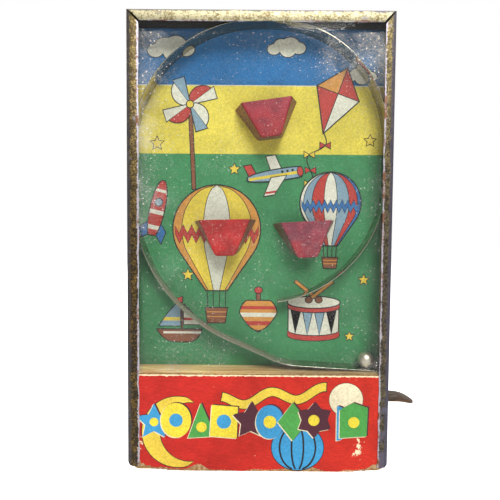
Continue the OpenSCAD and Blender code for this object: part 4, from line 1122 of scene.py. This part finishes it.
# The lever's slot is punched through the web at the lower right.
unit = np.array([[0, 0, 0], [1, 0, 0], [1, 1, 0], [0, 1, 0], [0, 0, 1], [1, 0, 1], [1, 1, 1], [0, 1, 1]])
slot_faces = [[0, 3, 2, 1], [4, 5, 6, 7], [0, 1, 5, 4], [1, 2, 6, 5], [2, 3, 7, 6], [3, 0, 4, 7]]
cutter = shaped("slot_punch", [(SLOT_LOW + unit * (SLOT_HIGH - SLOT_LOW), slot_faces)])
punch = edging.modifiers.new("slot", "BOOLEAN")
punch.operation = "DIFFERENCE"
punch.solver = "EXACT"
punch.object = cutter
settle(edging, 40)
bpy.data.objects.remove(cutter)

# Printed tin looks half metal under gold flecks on brown, lighter higher up. The top strip's
# print is paler than the sides': painted light from above. It has gone bare in blotches and along
# the lip's inner edge, and grey and scraped along the outside.
crackled, place = started("crackle-printed gold tin")
parts = add(crackled, "SeparateXYZ", {"Vector": place})
side_x = add(crackled, "Math", {"operation": "ABSOLUTE", 0: parts.outputs["X"]})
from_side = add(crackled, "Math", {"operation": "SUBTRACT", 0: EDGE_OUT / 1000, 1: side_x})
from_top = add(crackled, "Math", {"operation": "SUBTRACT", 0: EDGE_TOP / 1000, 1: parts.outputs["Z"]})
on_top = add(crackled, "Math", {"operation": "LESS_THAN", 0: from_top, 1: from_side})
on_right = add(crackled, "Math", {"operation": "GREATER_THAN", 0: parts.outputs["X"], 1: 0.0})
fine = add(crackled, "TexNoise", {"Vector": place, "Scale": 1000 / 0.8, "Detail": 5, "Roughness": 0.75})
blotch = add(crackled, "TexNoise", {"Vector": place, "Scale": 1000 / 4, "Detail": 3})
patchy = add(crackled, "Math", {"operation": "MULTIPLY_ADD", 0: blotch, 1: 0.3, 2: -0.15})
fleck = add(crackled, "Math", {"operation": "ADD", 0: fine, 1: patchy})
cells = add(crackled, "TexVoronoi", {"Vector": place, "Scale": 1000 / 0.9, "feature": "DISTANCE_TO_EDGE"})
wear = add(crackled, "TexNoise", {"Vector": place, "Scale": 1000 / 9, "Detail": 6, "Roughness": 0.7})
up = add(crackled, "MapRange", {"Value": parts.outputs["Z"], "From Min": 0.11, "From Max": 0.2})
patterns = []
# The third print, for the top strip, is a paler copy of the sides' as painted light from above; each goes
# lighter higher up.
for first, last, low_ground, low_fleck, high_ground, high_fleck in (
        (0.49, 0.63, "#2a2112", "#7a5f27", "#57482c", "#b39c60"),
        (0.44, 0.62, "#2f2a22", "#6d6148", "#3b301c", "#93824e"),
        (0.41, 0.55, "#665833", "#a59b73", "#6c5e35", "#bdb490")):
    shown = add(crackled, "MapRange", {"Value": fleck, "From Min": first, "From Max": last})
    ground = add(crackled, "Mix", {"data_type": "RGBA", 0: up, 6: colour(low_ground),
                                   7: colour(high_ground)})
    gold = add(crackled, "Mix", {"data_type": "RGBA", 0: up, 6: colour(low_fleck), 7: colour(high_fleck)})
    patterns.append(add(crackled, "Mix", {"data_type": "RGBA", 0: shown, 6: ground, 7: gold}))
sides = add(crackled, "Mix", {"data_type": "RGBA", 0: on_right, 6: patterns[0], 7: patterns[1]})
printed = add(crackled, "Mix", {"data_type": "RGBA", 0: on_top, 6: sides, 7: patterns[2]})
low_down = add(crackled, "MapRange", {"Value": parts.outputs["Z"], "From Min": 0.005, "From Max": 0.05,
                                      "To Min": 0.17, "To Max": 0.0})
low_right = add(crackled, "Math", {"operation": "MULTIPLY", 0: low_down, 1: on_right})
lowered = add(crackled, "Math", {"operation": "ADD", 0: wear, 1: low_right})
bald = add(crackled, "MapRange", {"Value": lowered, "From Min": 0.6, "From Max": 0.66})
bare_tone = add(crackled, "Mix", {"data_type": "RGBA", 0: up, 6: colour("#5d5866"), 7: colour("#8f8a84")})
worn = add(crackled, "Mix", {"data_type": "RGBA", 0: bald, 6: printed, 7: bare_tone})
inward = add(crackled, "Math", {"operation": "MINIMUM", 0: from_side, 1: from_top})
ragged = add(crackled, "MapRange", {"Value": fleck, "From Min": 0.3, "From Max": 0.7, "To Min": -0.0004,
                                    "To Max": 0.0004})
swung = add(crackled, "MapRange", {"Value": wear, "From Min": 0.35, "From Max": 0.65, "To Min": -0.0005,
                                   "To Max": 0.0005})
frayed = add(crackled, "Math", {"operation": "ADD", 0: ragged, 1: swung})
reach = add(crackled, "Math", {"operation": "ADD", 0: inward, 1: frayed})
rubbed_in = add(crackled, "Mix", {"data_type": "FLOAT", 0: on_right, 2: 0.0049, 3: 0.0042})
rubbed_from = add(crackled, "Mix", {"data_type": "FLOAT", 0: on_top, 2: rubbed_in, 3: 0.0051})
past = add(crackled, "Math", {"operation": "SUBTRACT", 0: reach, 1: rubbed_from})
raw_edge = add(crackled, "MapRange", {"Value": past, "From Min": 0.0, "From Max": 0.0002})
rusty = add(crackled, "MapRange", {"Value": wear, "From Min": 0.52, "From Max": 0.6})
raw_tin = add(crackled, "Mix", {"data_type": "RGBA", 0: rusty, 6: colour("#b7b2bb"), 7: colour("#7a5138")})
lipped = add(crackled, "Mix", {"data_type": "RGBA", 0: raw_edge, 6: worn, 7: raw_tin})
grey_reach = add(crackled, "Mix", {"data_type": "FLOAT", 0: on_top, 2: 0.0019, 3: 0.001})
grey_past = add(crackled, "Math", {"operation": "SUBTRACT", 0: grey_reach, 1: reach})
outer_edge = add(crackled, "MapRange", {"Value": grey_past, "From Min": -0.0001, "From Max": 0.0003,
                                        "To Min": 0.0, "To Max": 0.8})
drag = add(crackled, "Mapping", {"vector_type": "TEXTURE", "Vector": place, "Rotation": (0.5, 0, 0),
                                 "Scale": (1, 1, 16)})
scrape = add(crackled, "TexNoise", {"Vector": drag, "Scale": 1000 / 0.4, "Detail": 2})
scuffed = add(crackled, "MapRange", {"Value": scrape, "From Min": 0.68, "From Max": 0.74, "To Min": 0.0,
                                     "To Max": 0.6})
rubbed_off = add(crackled, "MapRange", {"Value": wear, "From Min": 0.56, "From Max": 0.64, "To Min": 0.0,
                                        "To Max": 0.4})
rubbed_bare = add(crackled, "Math", {"operation": "MAXIMUM", 0: scuffed, 1: rubbed_off})
lacquer = add(crackled, "Mix", {"data_type": "RGBA", 0: on_right, 6: colour("#3f3d42"),
                                7: colour("#4a4758")})
outside = add(crackled, "Mix", {"data_type": "RGBA", 0: rubbed_bare, 6: lacquer, 7: colour("#77727c")})
skin = add(crackled, "Mix", {"data_type": "RGBA", 0: outer_edge, 6: lipped, 7: outside})
crinkle = add(crackled, "Math", {"operation": "ADD", 0: fleck, 1: cells})
bump = add(crackled, "Bump", {"Height": crinkle, "Strength": 0.5, "Distance": 0.00025})
shader = add(crackled, "BsdfPrincipled", {"Base Color": skin, "Metallic": 0.55, "Roughness": 0.42,
                                          "Normal": bump})
add(crackled, "OutputMaterial", {"Surface": shader})
fitted(edging, "case", "printed_tin", crackled, "edging_strip")

# Brass pins look dull yellow with brown tarnish in blotches.
dull_brass, place = started("dull brass pin")
tarnish = add(dull_brass, "TexNoise", {"Vector": place, "Scale": 1000 / 0.9, "Detail": 5})
tone = add(dull_brass, "Mix", {"data_type": "RGBA", 0: tarnish, 6: colour("#5d4a22"), 7: colour("#b89b55")})
shader = add(dull_brass, "BsdfPrincipled", {"Base Color": tone, "Metallic": 1.0, "Roughness": 0.4})
add(dull_brass, "OutputMaterial", {"Surface": shader})
fitted(eased("edging_pins", "edging_pin_set", 0.08), "case", "pin_brass", dull_brass, "edging_pins")

# The game stands on a plain white table in soft light from above and in front, with a
# lamp behind for its back, seen from close in front and a little above its middle.
TABLE_HALF = 4.0
table_top = bpy.data.meshes.new("table")
corners = TABLE_HALF * np.array([[-1, -1, 0], [1, -1, 0], [1, 1, 0], [-1, 1, 0]])
table_top.from_pydata(corners, [], [[0, 1, 2, 3]])
table = placed("table", table_top)

# The table is a matt white that glows a little to the camera, so that it fades into the room.
white_table, place = started("white table")
seen = add(white_table, "LightPath", {})
glow = add(white_table, "Math", {"operation": "MULTIPLY", 0: seen.outputs["Is Camera Ray"], 1: 0.8})
shader = add(white_table, "BsdfPrincipled", {"Base Color": colour("#f4f4f4"), "Roughness": 0.9,
                                             "Emission Color": (1, 1, 1, 1), "Emission Strength": glow})
add(white_table, "OutputMaterial", {"Surface": shader})
table.data.materials.append(white_table)

# The room is full white where it is seen, dimmer in mirrors and dimmer still as a light.
world = bpy.data.worlds.new("room")
bpy.context.scene.world = world
world.use_nodes = True
world.node_tree.nodes.clear()
seen = add(world, "LightPath", {})
direct = add(world, "Math", {"operation": "MAXIMUM", 0: seen.outputs["Is Camera Ray"],
                             1: seen.outputs["Is Transmission Ray"]})
shiny = add(world, "MapRange", {"Value": seen.outputs["Is Glossy Ray"], "To Min": 0.24, "To Max": 0.45})
strength = add(world, "Mix", {"data_type": "FLOAT", 0: direct, 2: shiny, 3: 1.0})
sky = add(world, "Background", {"Color": (1, 1, 1, 1), "Strength": strength})
add(world, "OutputWorld", {"Surface": sky})

for name, spot, aim, size, power in (
        ("window", (0.2, -0.8, 1.0), (0, 0, 0.12), 0.6, 15.5),
        ("ceiling", (-0.1, -0.25, 1.0), (0, 0, 0.1), 0.5, 1.5),
        ("rear", (-0.5, 1.0, 0.7), (0, 0, 0.12), 0.8, 9.0)):
    lamp = bpy.data.lights.new(name, "AREA")
    lamp.shape = "DISK"
    lamp.size = size
    lamp.energy = power
    holder = placed(name, lamp)
    holder.location = spot
    holder.rotation_euler = (Vector(aim) - Vector(spot)).to_track_quat("-Z", "Y").to_euler()

# The camera's place, turn and focal length were fitted to the corners of the case.
EYE = (-0.0045, -0.1824, 0.1176)
FOCAL_PX, FRAME_PX, SENSOR_MM = 352, 500, 36
yaw, pitch, roll = (math.radians(a) for a in (-0.03, -2.0, 0.44))
ahead = Vector((math.sin(yaw) * math.cos(pitch), math.cos(yaw) * math.cos(pitch), math.sin(pitch)))
across = ahead.cross(Vector((0, 0, 1))).normalized()
upward = across.cross(ahead)
right_hand = across * math.cos(roll) + upward * math.sin(roll)
overhead = upward * math.cos(roll) - across * math.sin(roll)
camera = bpy.data.cameras.new("camera")
camera.sensor_width = SENSOR_MM
camera.lens = SENSOR_MM * FOCAL_PX / FRAME_PX
camera.clip_start = 0.01
viewer = placed("camera", camera)
turned = Matrix((right_hand, overhead, -ahead)).transposed().to_4x4()
viewer.matrix_world = Matrix.Translation(EYE) @ turned
bpy.context.scene.camera = viewer
bpy.context.scene.view_settings.view_transform = "Standard"
